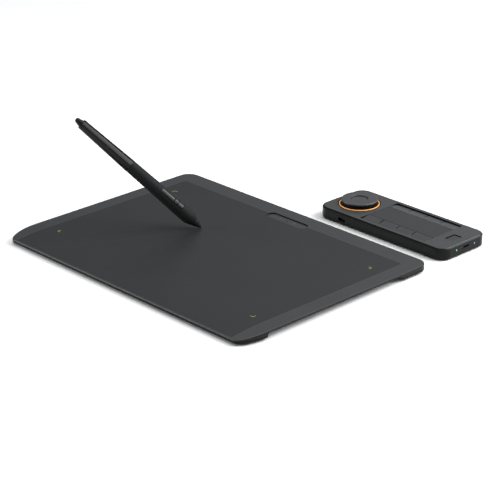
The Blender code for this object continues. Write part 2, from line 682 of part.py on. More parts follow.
def build_tablet_covers(tablet):
    shoulder = TABLET_TOP - TABLET_EDGE_ROUNDING
    rounding = TABLET_EDGE_ROUNDING
    joint_low = TABLET_PARTING - GAP / 2
    joint_high = TABLET_PARTING + GAP / 2
    top = stack(tablet_outline, [(joint_high, 0), (shoulder, 0), (shoulder + rounding * 0.7, rounding * 0.3),
                                 (TABLET_TOP, rounding)])
    recess = rounded_rectangle((-SURFACE_HALF_LENGTH - GAP, SURFACE_FRONT - GAP),
                               (SURFACE_HALF_LENGTH + GAP, SURFACE_BACK + GAP), SURFACE_RADIUS + GAP)
    top = cut(top, prism(recess, TABLET_TOP - SURFACE_THICKNESS - GAP, TABLET_TOP + BEYOND))
    half, front, back = TABLET_TOP_CAVITY
    cavity = rounded_rectangle((-half, front), (half, back), TABLET_CAVITY_RADIUS, CORNER_STEPS)
    top = cut(top, prism(cavity, joint_high - BEYOND, TABLET_PLATE_UNDERSIDE))
    top = fused(top, bosses(TABLET_SCREWS, SCREW_PAD_TOP + GAP, TABLET_PLATE_UNDERSIDE + GAP))
    top = cut(top, pilot_holes(TABLET_SCREWS, SCREW_PAD_TOP, TABLET_PILOT_TOP))
    top = cut(top, prism(key_bar_outline(GAP), TABLET_PARTING, TABLET_TOP + BEYOND))
    top = cut(top, together(corner_light_shapes(GAP, TABLET_PARTING, TABLET_TOP + BEYOND).values()))
    top = cut(top, finger_undercuts())
    top = cut(top, port_opening(TABLET_PORT, 1), tablet_switch_slot())
    add_piece("tablet_top_cover", lower_front(top), tablet, (BEZEL, 0.5, 0.0))

    low = TABLET_UNDERSIDE
    levels = [(low + rise, inset) for rise, inset in TABLET_FLOOR_EDGE]
    bottom = stack(tablet_outline, levels + [(joint_low, 0)])
    half, front, back = TABLET_BOTTOM_CAVITY
    cavity = rounded_rectangle((-half, front), (half, back), TABLET_CAVITY_RADIUS, CORNER_STEPS)
    bottom = cut(bottom, prism(cavity, TABLET_FLOOR_TOP, joint_low + BEYOND))
    bottom = fused(bottom, screw_pads(TABLET_SCREWS, TABLET_FLOOR_TOP - GAP, SCREW_PAD_TOP))
    bottom = cut(bottom, screw_holes(TABLET_SCREWS, low, SCREW_PAD_TOP))
    bottom = cut(bottom, foot_pockets(TABLET_FEET, TABLET_FOOT_SIZE, low))
    bottom = cut(bottom, finger_undercuts())
    bottom = cut(bottom, port_opening(TABLET_PORT, 1), tablet_switch_slot())
    add_piece("tablet_bottom_cover", bottom, tablet, (DARK_PLASTIC, 0.55, 0.0))


def build_drawing_surface(tablet):
    low = TABLET_TOP - SURFACE_THICKNESS
    outline = rounded_rectangle((-SURFACE_HALF_LENGTH, SURFACE_FRONT), (SURFACE_HALF_LENGTH, SURFACE_BACK),
                                SURFACE_RADIUS)
    surface = prism(outline, low, TABLET_TOP)
    surface = cut(surface, prism(key_bar_outline(GAP), low - BEYOND, TABLET_TOP + BEYOND))
    surface = cut(surface, together(corner_light_shapes(GAP, low - BEYOND, TABLET_TOP + BEYOND).values()))
    add_piece("tablet_drawing_surface", lower_front(surface), tablet, (SHEET, 0.6, 0.0))
    for where, light in corner_light_shapes(0, TABLET_PLATE_UNDERSIDE, LIGHT_TOP).items():
        add_piece(f"tablet_light_{where}", light, tablet, (OLIVE, 0.4, 0.0))


def build_tablet_keys(tablet):
    """Three keys in a pill-shaped opening, held from below by a flange."""
    middle_y = (KEY_BAR_FRONT + KEY_BAR_BACK) / 2
    reach = KEY_BAR_HALF_LENGTH + BEYOND
    side_end = KEY_BAR_SPLIT + GAP / 2
    middle_end = KEY_BAR_SPLIT - GAP / 2
    spans = {"left": (-reach, -side_end), "middle": (-middle_end, middle_end), "right": (side_end, reach)}
    for name, (x_low, x_high) in spans.items():
        body = prism(key_bar_outline(0), KEY_BAR_UNDERSIDE, KEY_BAR_TOP)
        body = fused(body, prism(key_bar_outline(KEY_FLANGE), KEY_BAR_UNDERSIDE, KEY_FLANGE_TOP))
        span = block((x_low, KEY_BAR_FRONT - BEYOND, 0), (x_high, KEY_BAR_BACK + BEYOND, TABLET_TOP))
        key = boolean(body, span, "INTERSECT")
        if name == "middle":
            key = fused(key, dome((0, middle_y, KEY_BAR_TOP - KEY_DOT_SUNK), KEY_DOT_RADIUS))
        visible = (max(x_low, -KEY_BAR_HALF_LENGTH) + min(x_high, KEY_BAR_HALF_LENGTH)) / 2
        add_piece(f"tablet_{name}_key", key, tablet, (BEZEL, 0.5, 0.0), (visible, middle_y, KEY_BAR_TOP))


def tablet_switch_slot():
    """The cutter for the power switch's slot in the back edge."""
    width = TABLET_SWITCH_KNOB[0] + TABLET_SWITCH_TRAVEL + 2 * GAP
    middle = (TABLET_SWITCH_X + TABLET_SWITCH_TRAVEL / 2, TABLET_SWITCH_Z)
    back = TABLET_TOP_CAVITY[2]
    height = TABLET_SWITCH_KNOB[1] + 2 * GAP
    return slot_prism(middle, width, height, back - BEYOND, TABLET_DEPTH / 2 + BEYOND, "Y")


def build_tablet_inside(tablet):
    add_piece("tablet_sensor_board", block(*SENSOR_BOX), tablet, (BOARD_GREEN, 0.5, 0.0))
    add_piece("tablet_shield_plate", block(*SHIELD_BOX), tablet, (STEEL, 0.35, 1.0))
    board = block(*MAIN_BOARD_BOX)
    top = MAIN_BOARD_BOX[1][2]
    for x, y, side in BOARD_CHIPS:
        low = (x - side / 2, y - side / 2, top - OVERLAP)
        board = fused(board, block(low, (x + side / 2, y + side / 2, top + BOARD_CHIP_HEIGHT)))
    middle_y = (KEY_BAR_FRONT + KEY_BAR_BACK) / 2
    spacing = (KEY_BAR_HALF_LENGTH + KEY_BAR_SPLIT) / 2
    places = [(x, middle_y) for x in (-spacing, 0, spacing)]
    side, height = TABLET_KEY_SWITCH
    board = with_switches(board, places, top - OVERLAP, top + height, side)
    add_piece("tablet_main_board", board, tablet, (BOARD_GREEN, 0.5, 0.0))
    low, high = TABLET_BATTERY_BOX
    pouch = prism(rounded_rectangle(low, high, POUCH_RADIUS), low[2], high[2])
    add_piece("tablet_battery", pouch, tablet, (BATTERY_SILVER, 0.4, 0.6))
    add_piece("tablet_usb_port", usb_inlet(TABLET_PORT, 1), tablet, (STEEL, 0.3, 1.0))
    add_screws("tablet", TABLET_SCREWS, TABLET_SHANK_TOP, tablet)
    add_feet("tablet", TABLET_FEET, TABLET_FOOT_SIZE, tablet)


def build_tablet_switch(tablet):
    """A slide switch: a ribbed knob in the back edge, on a carriage behind the wall."""
    half = (TABLET_SWITCH_KNOB[0] / 2, TABLET_SWITCH_KNOB[1] / 2)
    wall_inside = TABLET_TOP_CAVITY[2]
    knob_end = TABLET_DEPTH / 2 - TABLET_SWITCH_INSET
    x = TABLET_SWITCH_X
    z = TABLET_SWITCH_Z
    knob = slot_prism((x, z), 2 * half[0], 2 * half[1], wall_inside - GAP * 2, knob_end, "Y")
    reach = (half[0] + CARRIAGE_MARGIN[0], half[1] + CARRIAGE_MARGIN[1])
    carriage = block((x - reach[0], wall_inside - GAP - CARRIAGE_THICKNESS, z - reach[1]),
                     (x + reach[0], wall_inside - GAP, z + reach[1]))
    knob = fused(carriage, knob)
    pitch, width, depth = TABLET_SWITCH_RIB
    for i in (-1, 0, 1):
        groove = (x + i * pitch - width / 2, knob_end - depth, z - half[1] - BEYOND)
        knob = cut(knob, block(groove, (groove[0] + width, knob_end + BEYOND, z + half[1] + BEYOND)))
    add_piece("tablet_power_switch", knob, tablet, (DARK_PLASTIC, 0.5, 0.0), (x, knob_end, z))


def build_tablet():
    tablet = frame("tablet_frame", TABLET_PLACE)
    build_tablet_covers(tablet)
    build_drawing_surface(tablet)
    build_tablet_keys(tablet)
    build_tablet_inside(tablet)
    build_tablet_switch(tablet)


# Remote

def snap_lugs():
    """Lugs under the top cover that snap it into the long walls of the bottom cover."""
    length, thickness, drop = REMOTE_LUG_SIZE
    outer = REMOTE_DEPTH / 2 - REMOTE_WALL - GAP
    lugs = []
    for x in REMOTE_LUGS:
        for y_low in (-outer, outer - thickness):
            low = (x - length / 2, y_low, REMOTE_PLATE_UNDERSIDE - drop)
            lugs.append(block(low, (x + length / 2, y_low + thickness, REMOTE_PLATE_UNDERSIDE + OVERLAP)))
    return together(lugs)


def build_remote_covers(remote):
    inner = REMOTE_WALL + GAP
    inset = REMOTE_COVER_INSET
    rim_low = REMOTE_LEDGE + GAP
    rounding = REMOTE_COVER_ROUNDING
    top = stack(remote_outline, [(REMOTE_PLATE_UNDERSIDE, inner), (rim_low, inner),
                                 (rim_low + STEP_RISE, inset), (REMOTE_TOP - rounding, inset),
                                 (REMOTE_TOP, inset + rounding)])
    top = cut(top, rod(COLLAR_OPENING, 0, DIAL_TOP, DIAL_MIDDLE, DIAL_SEGMENTS))
    seat_low = (WINDOW_LEFT - GAP, -KEY_OUTER - GAP, WINDOW_SEAT)
    top = cut(top, block(seat_low, (WINDOW_RIGHT + GAP, KEY_OUTER + GAP, DIAL_TOP)))
    low, high = DISPLAY_BOX
    aperture = block((low[0] - GAP, low[1] - GAP, 0), (high[0] + GAP, high[1] + GAP, DIAL_TOP))
    top = cut(top, aperture)
    for side in (-1, 1):
        y_ends = sorted((side * (KEY_INNER - GAP), side * (KEY_OUTER + GAP)))
        row = block((KEY_EDGES[0] - GAP, y_ends[0], 0), (KEY_EDGES[-1] + GAP, y_ends[1], DIAL_TOP))
        top = cut(top, row)
    half = Vector(SET_KEY_SIZE) / 2 + Vector((GAP, GAP))
    middle = Vector(SET_KEY_MIDDLE)
    hole = rounded_rectangle(middle - half, middle + half, SET_KEY_RADIUS + GAP)
    top = cut(top, prism(hole, 0, DIAL_TOP))
    top = fused(top, snap_lugs())
    add_piece("remote_top_cover", top, remote, (BEZEL, 0.5, 0.0))

    low = REMOTE_UNDERSIDE
    levels = [(low + rise, inset) for rise, inset in REMOTE_FLOOR_EDGE]
    rounding = REMOTE_EDGE_ROUNDING
    bottom = stack(remote_outline, levels + [(REMOTE_TOP - rounding, 0), (REMOTE_TOP, rounding)])
    bottom = cut(bottom, prism(remote_outline(REMOTE_WALL), REMOTE_FLOOR_TOP, REMOTE_TOP + BEYOND))
    bottom = cut(bottom, prism(remote_outline(REMOTE_COVER_INSET - GAP), REMOTE_LEDGE, REMOTE_TOP + BEYOND))
    bottom = cut(bottom, foot_pockets(REMOTE_FEET, REMOTE_FOOT_SIZE, low))
    bottom = cut(bottom, port_opening(REMOTE_PORT, -1))
    inside = REMOTE_LENGTH / 2 - REMOTE_WALL - BEYOND / 10
    outside = REMOTE_LENGTH / 2 + BEYOND
    slot_width = REMOTE_SLOT[1] - REMOTE_SLOT[0]
    slot_middle = (sum(REMOTE_SLOT) / 2, REMOTE_SLOT_Z)
    bottom = cut(bottom, slot_prism(slot_middle, slot_width, REMOTE_SLOT_HEIGHT, inside, outside, "X"))
    for y, z in (GREEN_LIGHT, BLUE_LIGHT):
        hole = rod(LIGHT_RADIUS + GAP, inside, outside)
        bottom = cut(bottom, moved(hole, Matrix.Translation((0, y, z)) @ ALONG_X))
    add_piece("remote_bottom_cover", bottom, remote, (DARK_PLASTIC, 0.55, 0.0))


def build_remote_display(remote):
    low = (WINDOW_LEFT, -WINDOW_HALF_DEPTH, REMOTE_TOP - WINDOW_THICKNESS)
    window = block(low, (WINDOW_RIGHT, WINDOW_HALF_DEPTH, REMOTE_TOP))
    add_piece("remote_display_window", window, remote, (SHEET, 0.35, 0.0))
    module = fused(block(*DISPLAY_BOX), block(*DISPLAY_FLEX_BOX))
    add_piece("remote_display_module", module, remote, (DISPLAY_GREY, 0.3, 0.0))


def key_outline(index, side):
    """A key's plan; the outer corner at either end of the row is round."""
    low = KEY_EDGES[index] + GAP / 2
    high = KEY_EDGES[index + 1] - GAP / 2
    points = [(low, KEY_INNER), (high, KEY_INNER)]
    last = len(KEY_EDGES) - 2
    radius = KEY_OUTER_RADIUS
    if index == last:
        points += arc((high - radius, KEY_OUTER - radius), (radius, radius), 0, 90, SMALL_STEPS)
    else:
        points.append((high, KEY_OUTER))
    if index == 0:
        points += arc((low + radius, KEY_OUTER - radius), (radius, radius), 90, 180, SMALL_STEPS)
    else:
        points.append((low, KEY_OUTER))
    outline = [(x, side * y) for x, y in points]
    return outline if side > 0 else outline[::-1]


def remote_key(index, side):
    """One sloped key: high at the display, low at the outer side, with a flange under the cover."""
    above = KEY_INNER_TOP + BEYOND
    key = prism(key_outline(index, side), KEY_UNDERSIDE, above)
    slope = Vector((0, side * (KEY_OUTER - KEY_INNER), KEY_OUTER_TOP - KEY_INNER_TOP))
    normal = Vector((1, 0, 0)).cross(slope) * side
    geometry = list(key.verts) + list(key.edges) + list(key.faces)
    place = (0, side * KEY_INNER, KEY_INNER_TOP)
    sliced = bmesh.ops.bisect_plane(key, geom=geometry, dist=0.000001, plane_co=place, plane_no=normal,
                                    clear_outer=True)
    rim = [item for item in sliced["geom_cut"] if isinstance(item, bmesh.types.BMEdge)]
    bmesh.ops.holes_fill(key, edges=rim)
    bmesh.ops.bevel(key, geom=rim, offset=KEY_EDGE_ROUNDING, segments=2, profile=0.6, affect="EDGES")
    low = KEY_EDGES[index] + GAP / 2
    high = KEY_EDGES[index + 1] - GAP / 2
    y_ends = sorted((side * (KEY_OUTER - KEY_FLANGE_DEPTH), side * KEY_FLANGE_REACH))
    key = fused(key, block((low + KEY_FLANGE_INSET, y_ends[0], KEY_UNDERSIDE),
                           (high - KEY_FLANGE_INSET, y_ends[1], KEY_FLANGE_Z)))
    last = len(KEY_EDGES) - 2
    back_edge = KEY_OUTER if side > 0 else -KEY_INNER
    for edge, inner in ((low, index > 0), (high, index < last)):
        if inner:
            tick = block((edge - KEY_TICK_HALF_WIDTH, back_edge - KEY_TICK_LENGTH, KEY_TICK_FLOOR),
                         (edge + KEY_TICK_HALF_WIDTH, back_edge + BEYOND, above))
            key = cut(key, tick)
    if index == BUMP_KEY:
        y = KEY_INNER + KEY_BUMP_PLACE * (KEY_OUTER - KEY_INNER)
        z = KEY_INNER_TOP + KEY_BUMP_PLACE * (KEY_OUTER_TOP - KEY_INNER_TOP)
        key = fused(key, dome(((low + high) / 2, side * y, z - KEY_BUMP_SUNK), KEY_BUMP_RADIUS))
    return key


def build_remote_keys(remote):
    for side, row in ((1, "back"), (-1, "front")):
        for index in range(len(KEY_EDGES) - 1):
            x = (KEY_EDGES[index] + KEY_EDGES[index + 1]) / 2
            y = side * (KEY_INNER + KEY_OUTER) / 2
            name = f"remote_{row}_key_{index + 1}"
            add_piece(name, remote_key(index, side), remote, (KEY_GREY, 0.5, 0.0), (x, y, KEY_OUTER_TOP))
    half = Vector(SET_KEY_SIZE) / 2
    middle = Vector(SET_KEY_MIDDLE)
    levels = ((KEY_UNDERSIDE, 0), (SET_KEY_TOP - KEY_EDGE_ROUNDING, 0), (SET_KEY_TOP, KEY_EDGE_ROUNDING))
    rings = []
    for z, inset in levels:
        shrink = half - Vector((inset, inset))
        outline = rounded_rectangle(middle - shrink, middle + shrink, SET_KEY_RADIUS - inset)
        rings.append([(x, y, z) for x, y in outline])
    flange = half + Vector((SET_KEY_FLANGE, SET_KEY_FLANGE))
    key = fused(loft(rings), block((*(middle - flange), KEY_UNDERSIDE), (*(middle + flange), KEY_FLANGE_Z)))
    add_piece("remote_set_key", key, remote, (BEZEL, 0.5, 0.0), (*middle, SET_KEY_TOP))


def build_dial(remote):
    """The dial: a knob on a sleeve, its press button, its light ring, its collar and its encoder."""
    x, y = DIAL_MIDDLE
    rounding = DIAL_ROUNDING
    bore = DIAL_BUTTON_RADIUS + GAP
    hub_inner, hub_outer = DIAL_HUB
    wall_inside = DIAL_RADIUS - DIAL_WALL
    knob = turned([(bore, DIAL_SHELF), (hub_inner, DIAL_SHELF), (hub_inner, DIAL_HUB_UNDERSIDE),
                   (hub_outer, DIAL_HUB_UNDERSIDE), (hub_outer, DIAL_SHELF), (wall_inside, DIAL_SHELF),
                   (wall_inside, DIAL_UNDERSIDE), (DIAL_RADIUS, DIAL_UNDERSIDE),
                   (DIAL_RADIUS, DIAL_TOP - rounding),
                   (DIAL_RADIUS - rounding * 0.3, DIAL_TOP - rounding * 0.3),
                   (DIAL_RADIUS - rounding, DIAL_TOP), (bore + RIM_BREAK, DIAL_TOP),
                   (bore, DIAL_TOP - RIM_BREAK)], DIAL_SEGMENTS, DIAL_MIDDLE)
    add_piece("remote_dial_knob", knob, remote, (BEZEL, 0.45, 0.0), (x, y, DIAL_TOP))

    stem, stem_low = DIAL_STEM
    radius = DIAL_BUTTON_RADIUS
    top = DIAL_BUTTON_TOP
    button = turned([(0, stem_low), (stem, stem_low), (stem, DIAL_BUTTON_UNDERSIDE),
                     (radius, DIAL_BUTTON_UNDERSIDE), (radius, top - EDGE_BREAK), (radius - EDGE_BREAK, top),
                     (0, top - DIAL_BUTTON_DISH)], DIAL_SEGMENTS, DIAL_MIDDLE)
    add_piece("remote_dial_button", button, remote, (BEZEL, 0.45, 0.0), (x, y, top))

    ring = turned([(RING_INNER, RING_UNDERSIDE), (RING_OUTER, RING_UNDERSIDE),
                   (RING_OUTER, RING_TOP - RIM_BREAK), (RING_OUTER - RIM_BREAK, RING_TOP),
                   (RING_INNER + RIM_BREAK, RING_TOP), (RING_INNER, RING_TOP - RIM_BREAK)],
                  DIAL_SEGMENTS, DIAL_MIDDLE)
    add_piece("remote_dial_light_ring", ring, remote, (ORANGE, 0.35, 0.0))
    collar = tube(hub_outer + COLLAR_CLEARANCE, COLLAR_OPENING - GAP, COLLAR_UNDERSIDE, COLLAR_TOP,
                  DIAL_MIDDLE, DIAL_SEGMENTS)
    add_piece("remote_dial_collar", collar, remote, (RUBBER_BLACK, 0.5, 0.0))
    encoder = tube(hub_outer + GAP, ENCODER_OUTER, *ENCODER_SPAN, DIAL_MIDDLE, DIAL_SEGMENTS)
    add_piece("remote_dial_encoder", encoder, remote, (DARK_PLASTIC, 0.4, 0.0))


def build_remote_inside(remote):
    low, high = REMOTE_BOARD_Z
    board = prism(REMOTE_BOARD_PLAN, low, high)
    places = [DIAL_MIDDLE, SET_KEY_MIDDLE]
    for side in (-1, 1):
        for left, right in zip(KEY_EDGES, KEY_EDGES[1:]):
            places.append(((left + right) / 2, side * (KEY_INNER + KEY_OUTER) / 2))
    board = with_switches(board, places, high - OVERLAP, REMOTE_SWITCH_TOP, REMOTE_KEY_SWITCH_SIDE)
    add_piece("remote_main_board", board, remote, (BOARD_GREEN, 0.5, 0.0))
    low, high = REMOTE_BATTERY_BOX
    pouch = prism(rounded_rectangle(low, high, POUCH_RADIUS), low[2], high[2])
    add_piece("remote_battery", pouch, remote, (BATTERY_SILVER, 0.4, 0.6))
    add_piece("remote_usb_port", usb_inlet(REMOTE_PORT, -1), remote, (STEEL, 0.3, 1.0))
    add_feet("remote", REMOTE_FEET, REMOTE_FOOT_SIZE, remote)
    end = REMOTE_LENGTH / 2
    back = end - LENS_LENGTH
    lights = {"green": (GREEN_LIGHT, GREEN), "blue": (BLUE_LIGHT, BLUE)}
    for name, ((y, z), colour) in lights.items():
        profile = [(0, back), (LIGHT_RADIUS, back), (LIGHT_RADIUS, end - LENS_DOME), (0, end)]
        lens = turned(profile, LENS_SEGMENTS)
        moved(lens, Matrix.Translation((0, y, z)) @ ALONG_X)
        add_piece(f"remote_{name}_light", lens, remote, (colour, 0.3, 0.0))


def build_remote_switch(remote):
    """The slide switch in the remote's right end, at the front end of its slot."""
    end = REMOTE_LENGTH / 2
    inside = end - REMOTE_WALL - GAP
    half = REMOTE_SLOT_HEIGHT / 2 - GAP
    y = REMOTE_SLOT[0] + GAP + REMOTE_KNOB_WIDTH / 2
    z = REMOTE_SLOT_Z
    knob = slot_prism((y, z), REMOTE_KNOB_WIDTH, 2 * half, inside - OVERLAP, end - REMOTE_KNOB_INSET, "X")
    thickness, along, down, up = REMOTE_CARRIAGE
    carriage = block((inside - thickness, y - REMOTE_KNOB_WIDTH / 2 - along, z - half - down),
                     (inside, y + REMOTE_KNOB_WIDTH / 2 + along, z + half + up))
    add_piece("remote_power_switch", fused(carriage, knob), remote, (RUBBER_BLACK, 0.5, 0.0), (end, y, z))


def build_remote():
    remote = frame("remote_frame", REMOTE_PLACE)
    build_remote_covers(remote)
    build_remote_display(remote)
    build_remote_keys(remote)
    build_dial(remote)
    build_remote_inside(remote)
    build_remote_switch(remote)


# Pen

def pen_rotation():
    """Columns: through the buttons, across, and from the tip to the eraser."""
    level = math.cos(PEN_ALTITUDE)
    axis = Vector((math.cos(PEN_HEADING) * level, math.sin(PEN_HEADING) * level, math.sin(PEN_ALTITUDE)))
    upper = (Vector((0, 0, 1)) - axis * axis.z).normalized()
    across = axis.cross(upper)
    buttons = upper * math.cos(PEN_BUTTON_ROLL) + across * math.sin(PEN_BUTTON_ROLL)
    return Matrix((buttons, axis.cross(buttons), axis)).transposed()


def grip_radius(z):
    """The grip's outer radius at a distance from the tip."""
    for (z0, r0), (z1, r1) in zip(GRIP_PROFILE, GRIP_PROFILE[1:]):
        if z <= z1:
            return r0 + (r1 - r0) * (z - z0) / (z1 - z0)
    return GRIP_PROFILE[-1][1]


def build_pen_front(pen):
    nib = turned([*NIB_POINT, (NIB_RADIUS, NIB_END), (0, NIB_END)], HOLE_SEGMENTS)
    add_piece("pen_nib", nib, pen, (RUBBER_BLACK, 0.5, 0.0))
    outer = [(r, z) for z, r in NOSE_PROFILE]
    nose = turned([(NIB_HOLE, NOSE_START)] + outer + [(SPIGOT_RADIUS, NOSE_END), (SPIGOT_RADIUS, SPIGOT_END),
                  (SPIGOT_BORE, SPIGOT_END), (SPIGOT_BORE, NOSE_BORE_START), (NIB_HOLE, NOSE_BORE_START)],
                  PEN_SEGMENTS)
    add_piece("pen_nose", nose, pen, (DARK_PLASTIC, 0.45, 0.0))
    coil = tube(NIB_HOLE, SPIGOT_BORE - GAP, *COIL_SPAN)
    add_piece("pen_coil", coil, pen, (COPPER, 0.35, 1.0))
    bore = BARREL_BORE - GAP
    start, hole_end, end = SENSOR_SPAN
    profile = [(NIB_HOLE, start), (bore, start), (bore, end), (0, end), (0, hole_end), (NIB_HOLE, hole_end)]
    sensor = turned(profile, HOLE_SEGMENTS)
    add_piece("pen_pressure_sensor", sensor, pen, (STEEL, 0.35, 0.9))


def build_pen_grip(pen):
    outer = [(r, z) for z, r in GRIP_PROFILE]
    step = BARREL_START - GAP
    grip = turned([(GRIP_FRONT_BORE, GRIP_START), *outer, (GRIP_BORE, GRIP_END), (GRIP_BORE, step),
                   (GRIP_FRONT_BORE, step)], PEN_SEGMENTS)
    half = BUTTON_HALF_WIDTH + GAP
    low, high = BUTTON_WINDOW
    window = prism(rounded_rectangle((low, -half), (high, half), GAP), 0, BEYOND + grip_radius(low))
    to_side = Matrix(((0, 0, 1), (0, 1, 0), (1, 0, 0))).to_4x4()
    moved(window, to_side)
    bmesh.ops.reverse_faces(window, faces=window.faces)
    add_piece("pen_grip", cut(grip, window), pen, (RUBBER_BLACK, 0.7, 0.0))


def build_pen_barrel(pen):
    """The barrel: a tube inside the grip, a faceted rear body and a seat for the eraser."""
    seat, seat_radius = ERASER_SEAT
    tube_radius = BARREL_TUBE_RADIUS
    barrel = turned([(BARREL_BORE, BARREL_START), (tube_radius, BARREL_START), (tube_radius, BARREL_SHOULDER),
                     (BARREL_RADII[0], BARREL_SHOULDER), (BARREL_RADII[1], BARREL_END - EDGE_BREAK),
                     (BARREL_RADII[1] - EDGE_BREAK, BARREL_END), (seat_radius, BARREL_END),
                     (seat_radius, seat), (BARREL_BORE, seat)], PEN_SEGMENTS)
    start = BARREL_SHOULDER + FACET_SHOULDER
    rings = []
    for z, radius in ((start, BARREL_RADII[0]), (BARREL_END + BEYOND, BARREL_RADII[1])):
        flat = radius * BARREL_FACET
        beyond = flat + radius
        rings.append([(flat, -radius, z), (beyond, -radius, z), (beyond, radius, z), (flat, radius, z)])
    barrel = cut(barrel, loft(rings))
    half = BUTTON_HALF_WIDTH - GAP
    low, high = BUTTON_WINDOW
    window = block((BARREL_WINDOW_START, -half, low + GAP), (tube_radius + BEYOND, half, high - GAP))
    add_piece("pen_barrel", cut(barrel, window), pen, (DARK_PLASTIC, 0.45, 0.0))

    tip = ERASER_TIP_RADIUS
    end = PEN_LENGTH
    stem_start, stem_radius = ERASER_STEM
    shoulder = seat + ERASER_PLAY
    cap = arc((0, end - tip), (tip, tip), 0, 90 - ERASER_CAP_STEP, ERASER_CAP_STEPS)
    eraser = turned([(0, stem_start), (stem_radius, stem_start), (stem_radius, shoulder),
                     (ERASER_RADIUS, shoulder), (ERASER_RADIUS, BARREL_END + ERASER_STRAIGHT), *cap, (0, end)],
                    PEN_SEGMENTS)
    add_piece("pen_eraser", eraser, pen, (RUBBER_BLACK, 0.6, 0.0), (0, 0, BARREL_END))
    sensor = rod(BARREL_BORE - GAP, *ERASER_SENSOR_SPAN)
    add_piece("pen_eraser_sensor", sensor, pen, (COPPER, 0.35, 1.0))


def build_pen_buttons(pen):
    """Three side buttons in one window, and the circuit board with their switches."""
    half = BUTTON_HALF_WIDTH
    crown = [(-side, fall) for side, fall in BUTTON_CROWN]
    crown += [(side, fall) for side, fall in BUTTON_CROWN[-2::-1]]
    for name, (low, high) in BUTTON_SPANS.items():
        rings = []
        ends = ((low, BUTTON_END_SHRINK), (low + BUTTON_END_LENGTH, 0), (high - BUTTON_END_LENGTH, 0),
                (high, BUTTON_END_SHRINK))
        for z, shrink in ends:
            top = grip_radius(z) + BUTTON_PROUD[name] - shrink
            section = [(top - fall, y) for y, fall in crown]
            section = [(BUTTON_UNDERSIDE, -half), *section, (BUTTON_UNDERSIDE, half)]
            rings.append([(x, y, z) for x, y in section[::-1]])
        button = loft(rings)
        bmesh.ops.recalc_face_normals(button, faces=button.faces)
        origin = (BUTTON_UNDERSIDE, 0, (low + high) / 2)
        add_piece(f"pen_{name}_button", button, pen, (KEY_GREY, 0.45, 0.0), origin)
    board = block(*PEN_BOARD_BOX)
    side = PEN_SWITCH_HALF_SIDE
    for low, high in BUTTON_SPANS.values():
        middle = (low + high) / 2
        switch = block((PEN_SWITCH_SPAN[0], -side, middle - side), (PEN_SWITCH_SPAN[1], side, middle + side))
        board = fused(board, switch)
    add_piece("pen_circuit_board", fused(board, block(*PEN_CHIP_BOX)), pen, (BOARD_GREEN, 0.5, 0.0))


def build_pen():
    pen = frame("pen_frame", PEN_TIP, pen_rotation())
    build_pen_front(pen)
    build_pen_grip(pen)
    build_pen_barrel(pen)
    build_pen_buttons(pen)


def main():
    clear_scene()
    build_tablet()
    build_remote()
    build_pen()


main()
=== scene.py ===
"""Looks of the pen drawing tablet set: its studio, its materials and its finer visible pieces.

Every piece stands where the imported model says. Lengths are in metres.
"""

import json
import math

import bmesh
import bpy
from mathutils import Matrix, Vector


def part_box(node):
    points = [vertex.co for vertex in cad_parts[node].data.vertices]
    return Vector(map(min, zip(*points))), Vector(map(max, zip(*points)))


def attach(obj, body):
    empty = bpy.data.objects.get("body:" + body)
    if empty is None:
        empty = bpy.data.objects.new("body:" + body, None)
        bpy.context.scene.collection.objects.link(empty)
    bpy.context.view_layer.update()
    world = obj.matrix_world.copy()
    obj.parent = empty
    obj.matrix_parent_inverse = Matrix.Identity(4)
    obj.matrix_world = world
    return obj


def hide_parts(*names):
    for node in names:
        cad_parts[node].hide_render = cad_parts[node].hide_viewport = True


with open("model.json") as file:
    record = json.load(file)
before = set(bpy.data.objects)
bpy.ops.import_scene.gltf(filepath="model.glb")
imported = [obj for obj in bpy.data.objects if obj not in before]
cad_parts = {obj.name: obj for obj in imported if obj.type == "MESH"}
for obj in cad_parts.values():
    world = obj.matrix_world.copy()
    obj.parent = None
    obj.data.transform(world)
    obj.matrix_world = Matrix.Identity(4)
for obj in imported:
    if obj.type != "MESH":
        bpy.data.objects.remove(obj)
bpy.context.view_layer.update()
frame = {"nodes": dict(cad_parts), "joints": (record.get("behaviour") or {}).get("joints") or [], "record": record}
nodes = frame["nodes"]
joints = {joint["name"]: joint for joint in frame["joints"]}

MM = 0.001
SHARP_ANGLE = math.radians(35)
SAME_POINT = 0.0005 * MM            # points closer than this are one

# Camera, measured from the middle of the tablet
CAMERA_AIM = Vector((1.70, 37.83, -0.03)) * MM
CAMERA_AZIMUTH = math.radians(46.343)
CAMERA_ELEVATION = math.radians(23.028)
CAMERA_DISTANCE = 1.7419
CAMERA_ROLL = math.radians(-0.249)
CAMERA_LENS = 138.38
CAMERA_SENSOR = 36.0

# Room: its fill is strongest from one side and fades with the cosine of the angle from there
WORLD_STRENGTH = 1.15
FILL_SIDE = (0.35, 0.45, 0.82)
FILL_DARK = (0.06, (0.012, 0.012, 0.013))
FILL_BRIGHT = (0.80, (0.66, 0.67, 0.68))
FLOOR_SIZE = 6.0
FLOOR_GAP = 0.02 * MM               # between the floor and the feet
FLOOR_COLOUR = (0.93, 0.93, 0.93)


# Studio

